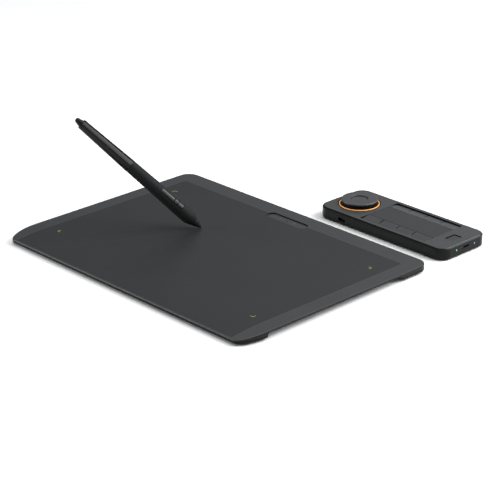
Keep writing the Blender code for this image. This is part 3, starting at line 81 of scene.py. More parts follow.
def add_camera():
    low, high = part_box("tablet_top_cover")
    target = Vector(((low.x + high.x) / 2, (low.y + high.y) / 2, 0)) + CAMERA_AIM
    level = math.cos(CAMERA_ELEVATION)
    back = Vector((math.sin(CAMERA_AZIMUTH) * level, -math.cos(CAMERA_AZIMUTH) * level,
                   math.sin(CAMERA_ELEVATION)))
    camera = bpy.data.objects.new("camera", bpy.data.cameras.new("camera"))
    camera.data.lens = CAMERA_LENS
    camera.data.sensor_width = CAMERA_SENSOR
    camera.data.clip_start = 0.05
    camera.data.clip_end = 50
    camera.location = target + back * CAMERA_DISTANCE
    turn = (-back).to_track_quat("-Z", "Y").to_matrix().to_4x4()
    camera.matrix_world = Matrix.Translation(camera.location) @ turn @ Matrix.Rotation(CAMERA_ROLL, 4, "Z")
    bpy.context.scene.collection.objects.link(camera)
    bpy.context.scene.camera = camera


def add_softbox(name, place, target, size, power):
    light = bpy.data.lights.new(name, "AREA")
    light.shape = "RECTANGLE"
    light.size, light.size_y = size
    light.energy = power
    box = bpy.data.objects.new(name, light)
    box.location = place
    box.rotation_euler = (Vector(target) - Vector(place)).to_track_quat("-Z", "Y").to_euler()
    bpy.context.scene.collection.objects.link(box)


def add_world():
    """A dark studio: some fill from overhead and from the back right, almost none near the floor."""
    world = bpy.data.worlds.new("room")
    bpy.context.scene.world = world
    world.use_nodes = True
    tree = world.node_tree
    coords = tree.nodes.new("ShaderNodeTexCoord")
    facing = tree.nodes.new("ShaderNodeVectorMath")
    facing.operation = "DOT_PRODUCT"
    facing.inputs[1].default_value = Vector(FILL_SIDE).normalized()
    ramp = tree.nodes.new("ShaderNodeValToRGB")
    background = tree.nodes["Background"]
    tree.links.new(coords.outputs["Generated"], facing.inputs[0])
    tree.links.new(facing.outputs["Value"], ramp.inputs["Fac"])
    for stop, (position, colour) in zip(ramp.color_ramp.elements, (FILL_DARK, FILL_BRIGHT)):
        stop.position = position
        stop.color = (*colour, 1)
    tree.links.new(ramp.outputs["Color"], background.inputs["Color"])
    background.inputs["Strength"].default_value = WORLD_STRENGTH


def add_floor():
    """A seamless white floor, clear from below so that the underside can be looked at."""
    corners = [(x * FLOOR_SIZE, y * FLOOR_SIZE, 0) for x, y in ((-1, -1), (1, -1), (1, 1), (-1, 1))]
    mesh = bpy.data.meshes.new("floor")
    mesh.from_pydata(corners, [], [(0, 1, 2, 3)])
    floor = bpy.data.objects.new("floor", mesh)
    floor.location.z = -FLOOR_GAP
    bpy.context.scene.collection.objects.link(floor)
    material = bpy.data.materials.new("floor")
    material.use_nodes = True
    tree = material.node_tree
    shader = tree.nodes["Principled BSDF"]
    shader.inputs["Base Color"].default_value = (*FLOOR_COLOUR, 1)
    shader.inputs["Roughness"].default_value = 0.9
    shader.inputs["Specular IOR Level"].default_value = 0.1
    geometry = tree.nodes.new("ShaderNodeNewGeometry")
    clear = tree.nodes.new("ShaderNodeBsdfTransparent")
    choose = tree.nodes.new("ShaderNodeMixShader")
    tree.links.new(geometry.outputs["Backfacing"], choose.inputs["Fac"])
    tree.links.new(shader.outputs["BSDF"], choose.inputs[1])
    tree.links.new(clear.outputs["BSDF"], choose.inputs[2])
    tree.links.new(choose.outputs["Shader"], tree.nodes["Material Output"].inputs["Surface"])
    mesh.materials.append(material)


# Materials

SCRATCH_LENGTHWISE = 60             # texture scale along the scratches
SCRATCH_ACROSS = 3000


def noise(tree, coords, scale, detail=2.0, roughness=0.5):
    node = tree.nodes.new("ShaderNodeTexNoise")
    node.inputs["Scale"].default_value = scale
    node.inputs["Detail"].default_value = detail
    node.inputs["Roughness"].default_value = roughness
    tree.links.new(coords, node.inputs["Vector"])
    return node.outputs["Fac"]


def spread(tree, value, low, high, start=0.3, end=0.7):
    """Map a texture's value to a range."""
    node = tree.nodes.new("ShaderNodeMapRange")
    node.inputs["From Min"].default_value = start
    node.inputs["From Max"].default_value = end
    node.inputs["To Min"].default_value = low
    node.inputs["To Max"].default_value = high
    tree.links.new(value, node.inputs["Value"])
    return node.outputs["Result"]


def mixed(tree, factor, first, second):
    """Mix two colours; each is a colour or a socket."""
    node = tree.nodes.new("ShaderNodeMix")
    node.data_type = "RGBA"
    tree.links.new(factor, node.inputs[0])
    for socket, value in ((node.inputs[6], first), (node.inputs[7], second)):
        if isinstance(value, tuple):
            socket.default_value = (*value, 1)
        else:
            tree.links.new(value, socket)
    return node.outputs[2]


def edge_mask(tree, radius, gain):
    """1 on a piece's sharp edges and 0 on its faces."""
    bevel = tree.nodes.new("ShaderNodeBevel")
    bevel.samples = 6
    bevel.inputs["Radius"].default_value = radius
    geometry = tree.nodes.new("ShaderNodeNewGeometry")
    dot = tree.nodes.new("ShaderNodeVectorMath")
    dot.operation = "DOT_PRODUCT"
    tree.links.new(bevel.outputs["Normal"], dot.inputs[0])
    tree.links.new(geometry.outputs["Normal"], dot.inputs[1])
    return spread(tree, dot.outputs["Value"], 1.0, 0.0, 1.0 - 1.0 / gain, 1.0)


def moulded(name, colour, roughness, grain=0.35 * MM, depth=0.012 * MM, mottle=0.10, wear_and_highlight=0.35,
            specular=0.5, metallic=0.0, gloss_change=0.10):
    """Moulded plastic or rubber: fine grain, uneven gloss, faint mottling, and sharp edges lightened in patches,
    partly as wear and partly as a painted highlight along them.
    """
    material = bpy.data.materials.new(name)
    material.use_nodes = True
    tree = material.node_tree
    shader = tree.nodes["Principled BSDF"]
    coords = tree.nodes.new("ShaderNodeTexCoord").outputs["Object"]
    fine = noise(tree, coords, 1 / grain, 3.0, 0.6)
    speckle = noise(tree, coords, 0.37 / grain, 2.0)
    cloud = noise(tree, coords, 1 / (45 * MM), 3.0)
    dark, light, lightest = (tuple(c * (1 + change) for c in colour)
                             for change in (-mottle, mottle, 2 * mottle))
    body = mixed(tree, spread(tree, cloud, 0, 1), dark, light)
    grained = mixed(tree, spread(tree, speckle, 0, 0.5, 0.35, 0.65), body, lightest)
    # painted highlight: the edge mask lightens sharp edges in patches, partly as wear and partly standing in for
    # the bright line of light along them
    edge = edge_mask(tree, 0.35 * MM, 8.0)
    patchy = tree.nodes.new("ShaderNodeMath")
    patchy.operation = "MULTIPLY"
    tree.links.new(edge, patchy.inputs[0])
    tree.links.new(spread(tree, noise(tree, coords, 1 / (3 * MM)), 0.3, wear_and_highlight + 0.3), patchy.inputs[1])
    worn_and_highlit = mixed(tree, patchy.outputs[0], grained, tuple(min(1.0, c * 1.6 + 0.012) for c in colour))
    tree.links.new(worn_and_highlit, shader.inputs["Base Color"])
    smooth = spread(tree, noise(tree, coords, 1 / (12 * MM), 4.0), roughness - gloss_change / 2,
                    roughness + gloss_change / 2)
    tree.links.new(smooth, shader.inputs["Roughness"])
    shader.inputs["Specular IOR Level"].default_value = specular
    shader.inputs["Metallic"].default_value = metallic
    bump = tree.nodes.new("ShaderNodeBump")
    bump.inputs["Strength"].default_value = 0.6
    bump.inputs["Distance"].default_value = depth
    tree.links.new(fine, bump.inputs["Height"])
    tree.links.new(bump.outputs["Normal"], shader.inputs["Normal"])
    return material


def lit(material, colour, strength):
    """Make a material glow evenly."""
    shader = material.node_tree.nodes["Principled BSDF"]
    shader.inputs["Emission Color"].default_value = (*colour, 1)
    shader.inputs["Emission Strength"].default_value = strength
    return material


def brushed(name, colour, roughness, along=(0, 0, 1)):
    """Metal with fine scratches along one direction."""
    material = bpy.data.materials.new(name)
    material.use_nodes = True
    tree = material.node_tree
    shader = tree.nodes["Principled BSDF"]
    coords = tree.nodes.new("ShaderNodeTexCoord").outputs["Object"]
    mapping = tree.nodes.new("ShaderNodeMapping")
    mapping.inputs["Scale"].default_value = [SCRATCH_LENGTHWISE if c else SCRATCH_ACROSS for c in along]
    tree.links.new(coords, mapping.inputs["Vector"])
    scratches = noise(tree, mapping.outputs["Vector"], 1.0, 4.0)
    stains = noise(tree, coords, 1 / (6 * MM), 4.0)
    tree.links.new(mixed(tree, spread(tree, stains, 0, 1), tuple(c * 0.85 for c in colour), colour),
                   shader.inputs["Base Color"])
    tree.links.new(spread(tree, scratches, roughness - 0.08, roughness + 0.12), shader.inputs["Roughness"])
    shader.inputs["Metallic"].default_value = 1.0
    bump = tree.nodes.new("ShaderNodeBump")
    bump.inputs["Strength"].default_value = 0.3
    bump.inputs["Distance"].default_value = 0.005 * MM
    tree.links.new(scratches, bump.inputs["Height"])
    tree.links.new(bump.outputs["Normal"], shader.inputs["Normal"])
    return material


def plastics():
    """The moulded shells, keys and sheets."""
    key_grain = 0.25 * MM
    return {
        "bezel": moulded("bezel", (0.024, 0.0252, 0.0264), 0.36, specular=0.50),
        # painted shade: a darker, less shiny copy of the bezel plastic for the tablet cover's steep sides, which
        # face away from the light
        "bezel_side_painted_shade": moulded("bezel_side_painted_shade", (0.008, 0.0083, 0.0087), 0.32, specular=0.16),
        # painted light: a lighter copy of the bezel plastic, for the stronger light on the remote at the back
        "remote_top": moulded("remote_top", (0.032, 0.0336, 0.0352), 0.36, specular=0.52),
        # painted shade: a near-black, dull copy for the walls of the remote cover's openings, where shade falls
        "opening_wall_painted_shade": moulded("opening_wall_painted_shade", (0.004, 0.0041, 0.0043), 0.50, wear_and_highlight=0.0, specular=0.06),
        "casing": moulded("casing", (0.0045, 0.0047, 0.0050), 0.30, specular=0.12),
        "drawing_sheet": moulded("drawing_sheet", (0.0185, 0.0195, 0.0206), 0.45, grain=0.22 * MM,
                                 depth=0.006 * MM, mottle=0.05, wear_and_highlight=0.1, specular=0.25),
        "display_window": moulded("display_window", (0.018, 0.0190, 0.0200), 0.36, depth=0.002 * MM,
                                  mottle=0.04, specular=0.50),
        "display_panel": moulded("display_panel", (0.035, 0.038, 0.042), 0.2),
        "key_cap": moulded("key_cap", (0.024, 0.0251, 0.0266), 0.33, grain=key_grain, specular=0.55),
        # painted light: the back row's keys are a lighter copy of the key plastic, for the light their
        # back-sloping tops catch
        "back_keys_painted_light": moulded("back_keys_painted_light", (0.048, 0.0505, 0.0545), 0.33, grain=key_grain, specular=0.55),
        "dial_cap": moulded("dial_cap", (0.036, 0.0377, 0.0394), 0.38, specular=0.55),
        # painted shade: a darker, duller copy of the black plastic for the dial's side, which stays dark in the
        # light
        "dial_skirt": moulded("dial_skirt", (0.0035, 0.0035, 0.0037), 0.55, specular=0.08),
        "black_plastic": moulded("black_plastic", (0.010, 0.010, 0.0108), 0.5, specular=0.35),
        "foot_rubber": moulded("foot_rubber", (0.018, 0.018, 0.019), 0.85, grain=0.8 * MM, depth=0.05 * MM),
        "circuit_board": moulded("circuit_board", (0.020, 0.090, 0.050), 0.45, grain=0.8 * MM),
    }


def pen_finishes():
    """The pen's rubber and its plastics."""
    return {
        "pen_rubber": moulded("pen_rubber", (0.013, 0.0134, 0.0140), 0.60, grain=0.45 * MM, depth=0.09 * MM,
                              specular=0.10),
        "pen_nose": moulded("pen_nose", (0.012, 0.0124, 0.0130), 0.50, grain=0.45 * MM, depth=0.03 * MM,
                            specular=0.15),
        "pen_button": moulded("pen_button", (0.024, 0.0248, 0.0258), 0.42, grain=0.25 * MM, specular=0.35),
        "pen_barrel": moulded("pen_barrel", (0.006, 0.0062, 0.0066), 0.36, specular=0.24),
        # painted shade: a darker, duller copy of the barrel plastic for its round side above the flat
        "pen_barrel_painted_shade": moulded("pen_barrel_painted_shade", (0.004, 0.0041, 0.0043), 0.50, specular=0.06),
        "pen_eraser": moulded("pen_eraser", (0.004, 0.004, 0.0042), 0.42, specular=0.20),
    }


def lights_and_marks():
    """The light ring, the two small lights and the corner marks, each with a faint glow."""
    return {
        "corner_mark": lit(moulded("corner_mark", (0.22, 0.24, 0.07), 0.45), (0.50, 0.52, 0.16), 0.04),
        "light_ring": lit(moulded("light_ring", (0.80, 0.34, 0.07), 0.4), (1.0, 0.42, 0.10), 0.30),
        "green_lens": lit(moulded("green_lens", (0.10, 0.42, 0.14), 0.3), (0.25, 0.80, 0.30), 0.12),
        "blue_lens": lit(moulded("blue_lens", (0.06, 0.20, 0.46), 0.3), (0.12, 0.40, 0.80), 0.12),
    }


def metals():
    """The shells, foils and windings inside."""
    return {
        # painted shade: the ports' metal shells are made nearly black, standing in for the shade inside the
        # openings
        "port_shell": moulded("port_shell", (0.020, 0.020, 0.021), 0.35, grain=0.5 * MM, metallic=0.8),
        "battery_foil": brushed("battery_foil", (0.62, 0.63, 0.66), 0.45),
        "shield": brushed("shield", (0.66, 0.67, 0.69), 0.30, along=(1, 0, 0)),
        "steel": brushed("steel", (0.56, 0.57, 0.59), 0.32),
        "copper": brushed("copper", (0.72, 0.36, 0.18), 0.35),
    }


# Carried-over nodes

def soften(node, width, segments=2):
    """Weld a node's split corners, join its flat triangles and round its sharp edges."""
    weld = node.modifiers.new("weld", "WELD")
    weld.merge_threshold = 0.001 * MM
    merge = node.modifiers.new("flat faces", "DECIMATE")
    merge.decimate_type = "DISSOLVE"
    merge.angle_limit = math.radians(0.3)
    bevel = node.modifiers.new("edge", "BEVEL")
    bevel.width = width
    bevel.segments = segments
    bevel.limit_method = "ANGLE"
    bevel.angle_limit = SHARP_ANGLE
    bevel.harden_normals = True


def dress_nodes():
    """Give every CAD node the finish of its slot."""
    for part in frame["record"]["subparts"]:
        node = nodes[part["node"]]
        node.data.materials.clear()
        node.data.materials.append(materials[part["material_slot"]])


# Finer pieces

RING_STEP = 0.05 * MM               # height between two rings that are told apart


def add_piece(name, solid, body, slot, replaced=(), finish=None):
    """Make a piece from a bmesh in world coordinates."""
    bmesh.ops.remove_doubles(solid, verts=solid.verts, dist=SAME_POINT)
    bmesh.ops.recalc_face_normals(solid, faces=solid.faces)
    for face in solid.faces:
        face.smooth = True
    for edge in solid.edges:
        if len(edge.link_faces) == 2 and edge.calc_face_angle() > SHARP_ANGLE:
            edge.smooth = False
    mesh = bpy.data.meshes.new(name)
    solid.to_mesh(mesh)
    solid.free()
    piece = bpy.data.objects.new(name, mesh)
    bpy.context.scene.collection.objects.link(piece)
    mesh.materials.append(materials[finish or slot])
    if replaced:
        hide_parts(*replaced)
    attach(piece, body)
    return piece


def revolved(loop, place, segments=96, reshape=None):
    """Turn a closed loop of (radius, height) points about the Z axis of a placing matrix."""
    solid = bmesh.new()
    rings = []
    for radius, height in loop:
        ring = []
        for i in range(segments):
            angle = math.tau * i / segments
            point = Vector((radius * math.cos(angle), radius * math.sin(angle), height))
            ring.append(solid.verts.new(place @ (reshape(point) if reshape else point)))
        rings.append(ring)
    for first, second in zip(rings, rings[1:] + rings[:1]):
        for i in range(segments):
            j = (i + 1) % segments
            solid.faces.new((first[i], first[j], second[j], second[i]))
    bmesh.ops.remove_doubles(solid, verts=solid.verts, dist=SAME_POINT)
    bmesh.ops.dissolve_degenerate(solid, edges=solid.edges, dist=0.0001 * MM)
    return solid


def arc(radius, height, reach, start, end, steps):
    """Points of (radius, height) along an arc about a centre, from one angle in degrees to another."""
    angles = [math.radians(start + (end - start) * i / steps) for i in range(steps + 1)]
    return [(radius + reach * math.cos(angle), height + reach * math.sin(angle)) for angle in angles]


def dome(radius, height, sunk):
    """A closed (radius, height) loop of a low dome that goes on down below its rim."""
    rise = [(radius * share, height * lift) for share, lift in arc(0, 0, 1, 0, 90, 6)]
    return [(0, -sunk), (radius, -sunk), *rise]


def outer_profile(name, place):
    """The (radius, height) rings of a turned node's outside, measured on its mesh."""
    inverse = place.inverted()
    turn = inverse.to_3x3()
    rings = {}
    for vertex in nodes[name].data.vertices:
        point = inverse @ vertex.co
        normal = turn @ vertex.normal
        radius = math.hypot(point.x, point.y)
        outward = radius < RING_STEP or normal.x * point.x + normal.y * point.y > 0.2 * radius
        if point.x <= 0 and outward:
            level = round(point.z / RING_STEP)
            rings[level] = max(rings.get(level, 0.0), radius)
    return [(radius, level * RING_STEP) for level, radius in sorted(rings.items())]


def rounded_profile(points, steps=4):
    """A smooth curve through (radius, height) points."""
    curve = []
    ends = [points[0], *points, points[-1]]
    for before, start, end, after in zip(ends, ends[1:], ends[2:], ends[3:]):
        for i in range(steps):
            t = i / steps
            curve.append(tuple(
                0.5 * (2 * b + (c - a) * t + (2 * a - 5 * b + 4 * c - d) * t ** 2
                       + (3 * b - a - 3 * c + d) * t ** 3)
                for a, b, c, d in zip(before, start, end, after)))
    return curve + [points[-1]]


def carved(solid, low, high, radius, place):
    """Cut a round-ended box out of a bmesh; low and high are its corners in the placing matrix's frame."""
    cutter = bmesh.new()
    corners = []
    for along, side, start in ((high.z - radius, high.y - radius, 0), (low.z + radius, high.y - radius, 90),
                               (low.z + radius, low.y + radius, 180), (high.z - radius, low.y + radius, 270)):
        corners += arc(along, side, radius, start, start + 90, 5)
    ends = [[cutter.verts.new(place @ Vector((x, side, along))) for along, side in corners]
            for x in (low.x, high.x)]
    cutter.faces.new(ends[0])
    cutter.faces.new(ends[1][::-1])
    for i in range(len(corners)):
        j = (i + 1) % len(corners)
        cutter.faces.new((ends[0][j], ends[0][i], ends[1][i], ends[1][j]))
    bmesh.ops.recalc_face_normals(cutter, faces=cutter.faces)
    bmesh.ops.recalc_face_normals(solid, faces=solid.faces)
    pair = []
    for shape in (solid, cutter):
        mesh = bpy.data.meshes.new("shape")
        shape.to_mesh(mesh)
        shape.free()
        item = bpy.data.objects.new("shape", mesh)
        bpy.context.scene.collection.objects.link(item)
        pair.append(item)
    cut = pair[0].modifiers.new("cut", "BOOLEAN")
    cut.object = pair[1]
    cut.operation = "DIFFERENCE"
    cut.solver = "EXACT"
    bpy.context.view_layer.update()
    result = bmesh.new()
    result.from_object(pair[0], bpy.context.evaluated_depsgraph_get())
    for item in pair:
        bpy.data.objects.remove(item)
    return result


# Pen, in its own frame: x through the buttons, y across, z from the tip to the eraser

PEN_AXIS = Vector(joints["pen_nib_press"]["axis"]).normalized()
PEN_SIDE = -Vector(joints["pen_front_button_press"]["axis"]).normalized()
NOSE_BORE = 1.15 * MM
GRIP_FRONT_BORE = 3.2 * MM          # behind the nose, up to the step in the bore
GRIP_BORE = 4.5 * MM
GRIP_STEP = 13.7 * MM               # from the tip to that step
CHANNEL_FLOOR = 6.1 * MM            # from the pen's axis to the floor of the buttons' channel
CHANNEL_REACH = 9.0 * MM            # from the axis to beyond the grip's belly
CHANNEL_SIDES = (-2.5 * MM, 2.15 * MM)
CHANNEL_CORNER = 1.0 * MM
CHANNEL_MARGIN = 0.5 * MM           # before the front button and behind the rear one
BARREL_WIDE = 6.1 * MM              # radius next to the grip
BARREL_SLIM = 4.7 * MM              # radius at its end
BARREL_GAP = 0.3 * MM               # seam between the grip and the barrel
BARREL_COLLAR = 0.7 * MM            # length that stays round before the flat
BARREL_TENON = 4.2 * MM             # radius of the length inside the grip
BARREL_BORE = 2.9 * MM
BARREL_FRONT = 14 * MM              # from the tip to the tenon's front
BARREL_STEPS = 24
ERASER_HOLE = 3.75 * MM             # radius
ERASER_SEAT = 2.8 * MM              # from the eraser's inner end to the seat it stops on
FLAT_SHARE = 0.37                   # half the width of the barrel's flat, as a share of its radius
FLAT_LEVEL = 0.905                  # the flat's distance from the axis, as the same share
FLAT_CROWN = 0.015
GROOVE = 0.55 * MM                  # width and depth of the groove on each side of the flat
ERASER_SHRINK = 0.985               # keeps the smoothed cap inside the faceted one
ERASER_SUNK = 0.04 * MM


def pen_frame():
    nib = nodes["pen_nib"].data.vertices
    tip = min((vertex.co for vertex in nib), key=lambda point: point.dot(PEN_AXIS))
    turn = Matrix((PEN_SIDE, PEN_AXIS.cross(PEN_SIDE), PEN_AXIS)).transposed()
    return Matrix.Translation(tip) @ turn.to_4x4()


def span(name, place):
    """A node's lowest and highest corners in a placing matrix's frame."""
    inverse = place.inverted()
    points = [inverse @ vertex.co for vertex in nodes[name].data.vertices]
    return (Vector([min(point[i] for point in points) for i in range(3)]),
            Vector([max(point[i] for point in points) for i in range(3)]))


def build_nib(place):
    nib = outer_profile("pen_nib", place)
    loop = [(0, nib[0][1]), *nib, (0, nib[-1][1])]
    add_piece("pen_nib_point", revolved(loop, place, 32), "pen_nib", "black_plastic", ("pen_nib",))


def build_nose(place):
    nose = rounded_profile(outer_profile("pen_nose", place))
    loop = [(NOSE_BORE, nose[0][1]), *nose, (NOSE_BORE, nose[-1][1])]
    add_piece("pen_nose_cone", revolved(loop, place), "pen", "casing", ("pen_nose",), "pen_nose")


def build_grip(place, outside):
    """The rubber grip, smooth behind its front edge, with a channel round the three buttons."""
    widest = max(outside)[0]
    corner = next(i for i, (radius, height) in enumerate(outside) if radius > 0.98 * widest)
    grip = outside[:corner] + rounded_profile(outside[corner:])
    loop = [(GRIP_FRONT_BORE, grip[0][1]), *grip, (GRIP_BORE, grip[-1][1]), (GRIP_BORE, GRIP_STEP),
            (GRIP_FRONT_BORE, GRIP_STEP)]
    front = span("pen_front_button", place)[0].z - CHANNEL_MARGIN
    rear = span("pen_rear_button", place)[1].z + CHANNEL_MARGIN
    low = Vector((CHANNEL_FLOOR, CHANNEL_SIDES[0], front))
    high = Vector((CHANNEL_REACH, CHANNEL_SIDES[1], rear))
    solid = carved(revolved(loop, place, 128), low, high, CHANNEL_CORNER, place)
    add_piece("pen_grip_sleeve", solid, "pen", "pen_rubber", ("pen_grip",))


def build_barrel(place, shoulder, end):
    """The barrel, with a flat between two grooves along its button side; the round part beyond the flat on one
    side gets a darker, duller copy of its plastic as painted shade.
    """
    def radius_at(height):
        return BARREL_WIDE + (BARREL_SLIM - BARREL_WIDE) * (height - shoulder) / (end - shoulder)

    def faceted(point):
        radius = radius_at(point.z)
        if point.z < shoulder + BARREL_COLLAR or point.x < 0.6 * radius:
            return point
        flat = FLAT_SHARE * radius
        if abs(point.y) > flat + GROOVE:
            return point
        if abs(point.y) > flat:
            return Vector((point.x - GROOVE, point.y, point.z))
        limit = radius * (FLAT_LEVEL + FLAT_CROWN * (1 - (point.y / flat) ** 2))
        return Vector((min(point.x, limit), point.y, point.z))

    seat = span("pen_eraser", place)[0].z + ERASER_SEAT
    start = shoulder + BARREL_COLLAR + 0.05 * MM
    taper = [(BARREL_WIDE + (BARREL_SLIM - BARREL_WIDE) * i / BARREL_STEPS,
              start + (end - 0.5 * MM - start) * i / BARREL_STEPS) for i in range(BARREL_STEPS + 1)]
    body = [(BARREL_TENON, BARREL_FRONT), (BARREL_TENON, shoulder), (BARREL_WIDE - 0.2 * MM, shoulder),
            (BARREL_WIDE, shoulder + 0.2 * MM), (BARREL_WIDE, shoulder + 0.6 * MM), *taper,
            (BARREL_SLIM - 0.15 * MM, end - 0.15 * MM), (BARREL_SLIM - 0.5 * MM, end),
            (ERASER_HOLE + 0.15 * MM, end), (ERASER_HOLE, end - 0.15 * MM), (ERASER_HOLE, seat),
            (BARREL_BORE, seat), (BARREL_BORE, BARREL_FRONT)]
    barrel = add_piece("pen_barrel_body", revolved(body, place, 192, faceted), "pen", "casing",
                       ("pen_barrel",), "pen_barrel")
    # painted shade: faces beyond the flat on one side take the darker, duller copy
    barrel.data.materials.append(materials["pen_barrel_painted_shade"])
    inverse = place.inverted()
    for face in barrel.data.polygons:
        point = inverse @ face.center
        if point.y > FLAT_SHARE * radius_at(point.z):
            face.material_index = 1


def build_eraser(place, end):
    eraser = outer_profile("pen_eraser", place)
    straight = [point for point in eraser if point[1] < end]
    cap = [(ERASER_SHRINK * radius, height - ERASER_SUNK)
           for radius, height in rounded_profile(eraser[len(straight):])]
    loop = [(0, eraser[0][1]), *straight, *cap, (0, cap[-1][1])]
    add_piece("pen_eraser_tip", revolved(loop, place, 64), "pen_eraser", "pen_rubber", ("pen_eraser",),
              "pen_eraser")


def build_pen():
    place = pen_frame()
    outside = outer_profile("pen_grip", place)
    shoulder = outside[-1][1] + BARREL_GAP
    end = span("pen_barrel", place)[1].z
    build_nib(place)
    build_nose(place)
    build_grip(place, outside)
    build_barrel(place, shoulder, end)
    build_eraser(place, end)


# Remote's dial

DIAL_SEGMENTS = 160
DIAL_BUTTON_GAP = 0.35 * MM         # between the dial and its button
DIAL_RIM = 0.7 * MM                 # rounding of its top edge
DIAL_LIP = 1.5 * MM                 # from its top down to the undercut
DIAL_TOOTH = 1.2 * MM               # how far the cap goes on down inside the skirt
DIAL_WAIST = 0.25 * MM              # how far the skirt stands back
BUTTON_EDGE = 0.45 * MM             # rounding of the button
BUTTON_DISH = 0.22 * MM
BUTTON_DEPTH = 3.0 * MM
RING_WIDTH = 0.9 * MM


def build_dial_cap(axis, radius, top, button):
    bore = button + DIAL_BUTTON_GAP
    lip = top - DIAL_LIP
    inner = radius - 1.5 * MM
    cap = [(bore, lip - DIAL_TOOTH), (bore, top - 0.25 * MM), (bore + 0.25 * MM, top - 0.05 * MM),
           (bore + 1.2 * MM, top - 0.02 * MM), (radius - 2.2 * MM, top),
           *arc(radius - DIAL_RIM, top - DIAL_RIM, DIAL_RIM, 90, 15, 5),
           (radius - 0.02 * MM, lip + 0.1 * MM), (radius - 0.15 * MM, lip), (inner, lip),
           (inner, lip - DIAL_TOOTH)]
    add_piece("remote_dial_cap", revolved(cap, axis, DIAL_SEGMENTS), "remote_dial_knob", "bezel",
              ("remote_dial_knob",), "dial_cap")


def build_dial_skirt(axis, radius, top, base):
    inner = radius - 2.0 * MM
    waist = radius - DIAL_WAIST
    under_lip = top - DIAL_LIP - 0.1 * MM
    skirt = [(inner, under_lip), (waist, under_lip), (waist, base + 0.2 * MM), (waist - 0.2 * MM, base),
             (inner, base)]
    # painted shade: the skirt takes the darker, duller copy of the black plastic
    add_piece("remote_dial_skirt", revolved(skirt, axis, DIAL_SEGMENTS), "remote_dial_knob", "black_plastic",
              (), "dial_skirt")


def build_dial_button(axis, radius, face):
    """The dial's middle button, with a dished face."""
    dish = [(radius * (1 - share), face - BUTTON_DISH * (1 - (1 - share) ** 2))
            for share in (0.25, 0.45, 0.65, 0.85, 1.0)]
    disc = [(0, face - BUTTON_DEPTH), (radius, face - BUTTON_DEPTH), (radius, face - BUTTON_EDGE),
            *arc(radius - BUTTON_EDGE, face - BUTTON_EDGE, BUTTON_EDGE, 18, 90, 4), *dish]
    add_piece("remote_dial_button_face", revolved(disc, axis, 128), "remote_dial_button", "bezel",
              ("remote_dial_button",), "dial_cap")


def build_glow_ring(axis, low, high):
    outer = (high.x - low.x) / 2
    half = RING_WIDTH / 2
    tube = [(outer - RING_WIDTH, low.z), (outer, low.z), *arc(outer - half, high.z - half, half, 0, 180, 12)]
    add_piece("remote_dial_glow_ring", revolved(tube, axis, DIAL_SEGMENTS), "remote", "light_ring",
              ("remote_dial_light_ring",))


def build_dial():
    low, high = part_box("remote_dial_knob")
    button_low, button_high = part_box("remote_dial_button")
    ring_low, ring_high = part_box("remote_dial_light_ring")
    axis = Matrix.Translation(Vector(((low.x + high.x) / 2, (low.y + high.y) / 2, 0)))
    radius = (high.x - low.x) / 2
    button = (button_high.x - button_low.x) / 2
    build_dial_cap(axis, radius, high.z, button)
    build_dial_skirt(axis, radius, high.z, ring_low.z + 0.1 * MM)
    build_dial_button(axis, button, button_high.z)
    build_glow_ring(axis, ring_low, ring_high)


# Keys and covers

ROWS = (("back", 1), ("front", -1))
KEY_STEPS = 6                       # cuts across each key's eased edge
KEY_RAMP = 2.0 * MM                 # length of that edge
KEY_RAMP_DROP = 0.62 * MM
KEY_RAMP_CURVE = 1.6
KEY_NEAR_TOP = 0.6 * MM
KEY_INNER = 14.2 * MM               # from the remote's middle line to the keys' inner ends
KEY_SLOPE = math.atan2(2.2, 12.0)
KEY_EDGE = 0.15 * MM
DOT_REACH = 4.3 * MM                # from a key's inner end to the dot's middle
DOT_SQUEEZE = 0.62
OPENING_MARGIN = 3.0 * MM           # walls at least this far inside a cover belong to its openings


def remote_middle():
    low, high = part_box("remote_top_cover")
    return (low.y + high.y) / 2


def ease_key(key, middle, side):
    """Round off the inner end of a key, which lies towards the remote's middle line."""
    top = max(vertex.co.z for vertex in key.verts)
    inner = min(abs(vertex.co.y - middle) for vertex in key.verts if vertex.co.z > top - KEY_NEAR_TOP)
    for i in range(1, KEY_STEPS + 1):
        plane = Vector((0, middle + side * (inner + KEY_RAMP * i / KEY_STEPS), 0))
        bmesh.ops.bisect_plane(key, geom=key.verts[:] + key.edges[:] + key.faces[:], plane_co=plane,
                               plane_no=(0, 1, 0), dist=0.0001 * MM)
    for vertex in key.verts:
        reach = abs(vertex.co.y - middle) - inner
        fall = (1 - min(1.0, max(0.0, reach) / KEY_RAMP)) ** KEY_RAMP_CURVE
        vertex.co.z = min(vertex.co.z, top - KEY_RAMP_DROP * fall)


def build_keys():
    """The remote's two rows of sloped keys."""
    middle = remote_middle()
    for row, side in ROWS:
        for number in range(1, 5):
            name = f"remote_{row}_key_{number}"
            key = bmesh.new()
            key.from_mesh(nodes[name].data)
            bmesh.ops.remove_doubles(key, verts=key.verts, dist=SAME_POINT)
            bmesh.ops.dissolve_limit(key, angle_limit=math.radians(0.3), verts=key.verts, edges=key.edges)
            ease_key(key, middle, side)
            # painted light: the back row gets the lighter copy of the key plastic
            finish = "back_keys_painted_light" if row == "back" else "key_cap"
            piece = add_piece(f"{name}_cap", key, name, "key_cap", (name,), finish)
            edge = piece.modifiers.new("edge", "BEVEL")
            edge.width = KEY_EDGE
            edge.segments = 2
            edge.limit_method = "ANGLE"
            edge.angle_limit = SHARP_ANGLE
            flat = piece.modifiers.new("flat faces", "WEIGHTED_NORMAL")
            flat.keep_sharp = True


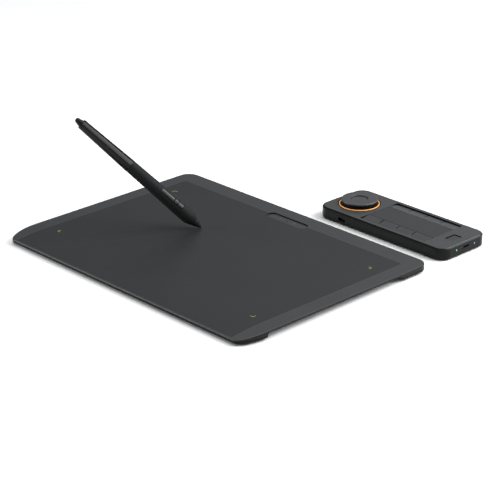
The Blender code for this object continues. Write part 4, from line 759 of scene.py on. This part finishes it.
def build_key_dots():
    """A small dark locating dot on the third key of each row and on the tablet's middle key."""
    middle = remote_middle()
    for row, side in ROWS:
        name = f"remote_{row}_key_3"
        low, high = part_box(name)
        centre = Vector(((low.x + high.x) / 2, middle + side * (KEY_INNER + DOT_REACH),
                         high.z - DOT_REACH * math.tan(KEY_SLOPE) - 0.06 * MM))
        place = (Matrix.Translation(centre) @ Matrix.Rotation(-side * KEY_SLOPE, 4, "X")
                 @ Matrix.Diagonal((1.0, DOT_SQUEEZE, 1.0, 1.0)))
        dot = dome(1.7 * MM, 0.28 * MM, 0.3 * MM)
        add_piece(f"{name}_dot", revolved(dot, place, 48), name, "black_plastic")
    low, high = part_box("tablet_middle_key")
    centre = Vector(((low.x + high.x) / 2, (low.y + high.y) / 2, high.z - 0.30 * MM))
    dot = dome(1.15 * MM, 0.32 * MM, 0.5 * MM)
    add_piece("tablet_middle_key_dot", revolved(dot, Matrix.Translation(centre), 48), "tablet_middle_key",
              "black_plastic")


def darken_sides(name, finish, margin=0.0):
    """Paint shade on a node's steep faces that lie at least a margin inside its box, by giving them a darker
    finish.
    """
    node = nodes[name]
    low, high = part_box(name)
    node.data.materials.append(materials[finish])
    for face in node.data.polygons:
        x, y = face.center.xy
        inside = min(x - low.x, high.x - x, y - low.y, high.y - y)
        if face.normal.z < 0.5 and inside >= margin:
            face.material_index = 1


def dress_small_parts():
    """Soften the small keys and buttons, finish the pen's buttons, give the remote's cover a lighter copy of its
    plastic as painted light, and paint shade on the covers' steep walls.
    """
    pen_buttons = ("pen_front_button", "pen_middle_button", "pen_rear_button")
    small_keys = ("tablet_left_key", "tablet_middle_key", "tablet_right_key", "remote_set_key")
    for name in small_keys + pen_buttons:
        soften(nodes[name], KEY_EDGE)
    for name in pen_buttons:
        nodes[name].data.materials[0] = materials["pen_button"]
    # painted light: the remote's cover gets the lighter copy of the bezel plastic
    nodes["remote_top_cover"].data.materials[0] = materials["remote_top"]
    # painted shade on the tablet cover's steep sides
    darken_sides("tablet_top_cover", "bezel_side_painted_shade")
    # painted shade on the walls of the remote cover's openings
    darken_sides("remote_top_cover", "opening_wall_painted_shade", OPENING_MARGIN)


add_world()
add_camera()
add_floor()
add_softbox("key", (0.62, 0.62, 0.64), (0.0, 0.05, 0), (0.8, 0.8), 14)
add_softbox("front_left", (-1.1, -1.2, 0.28), (0, 0, 0.05), (1.2, 0.4), 22)
add_softbox("overhead", (-0.15, 0.15, 1.5), (0, 0, 0), (1.6, 1.6), 9)
materials = {**plastics(), **pen_finishes(), **lights_and_marks(), **metals()}
dress_nodes()
build_pen()
build_dial()
build_keys()
build_key_dots()
dress_small_parts()

bpy.context.scene.view_settings.view_transform = "Standard"
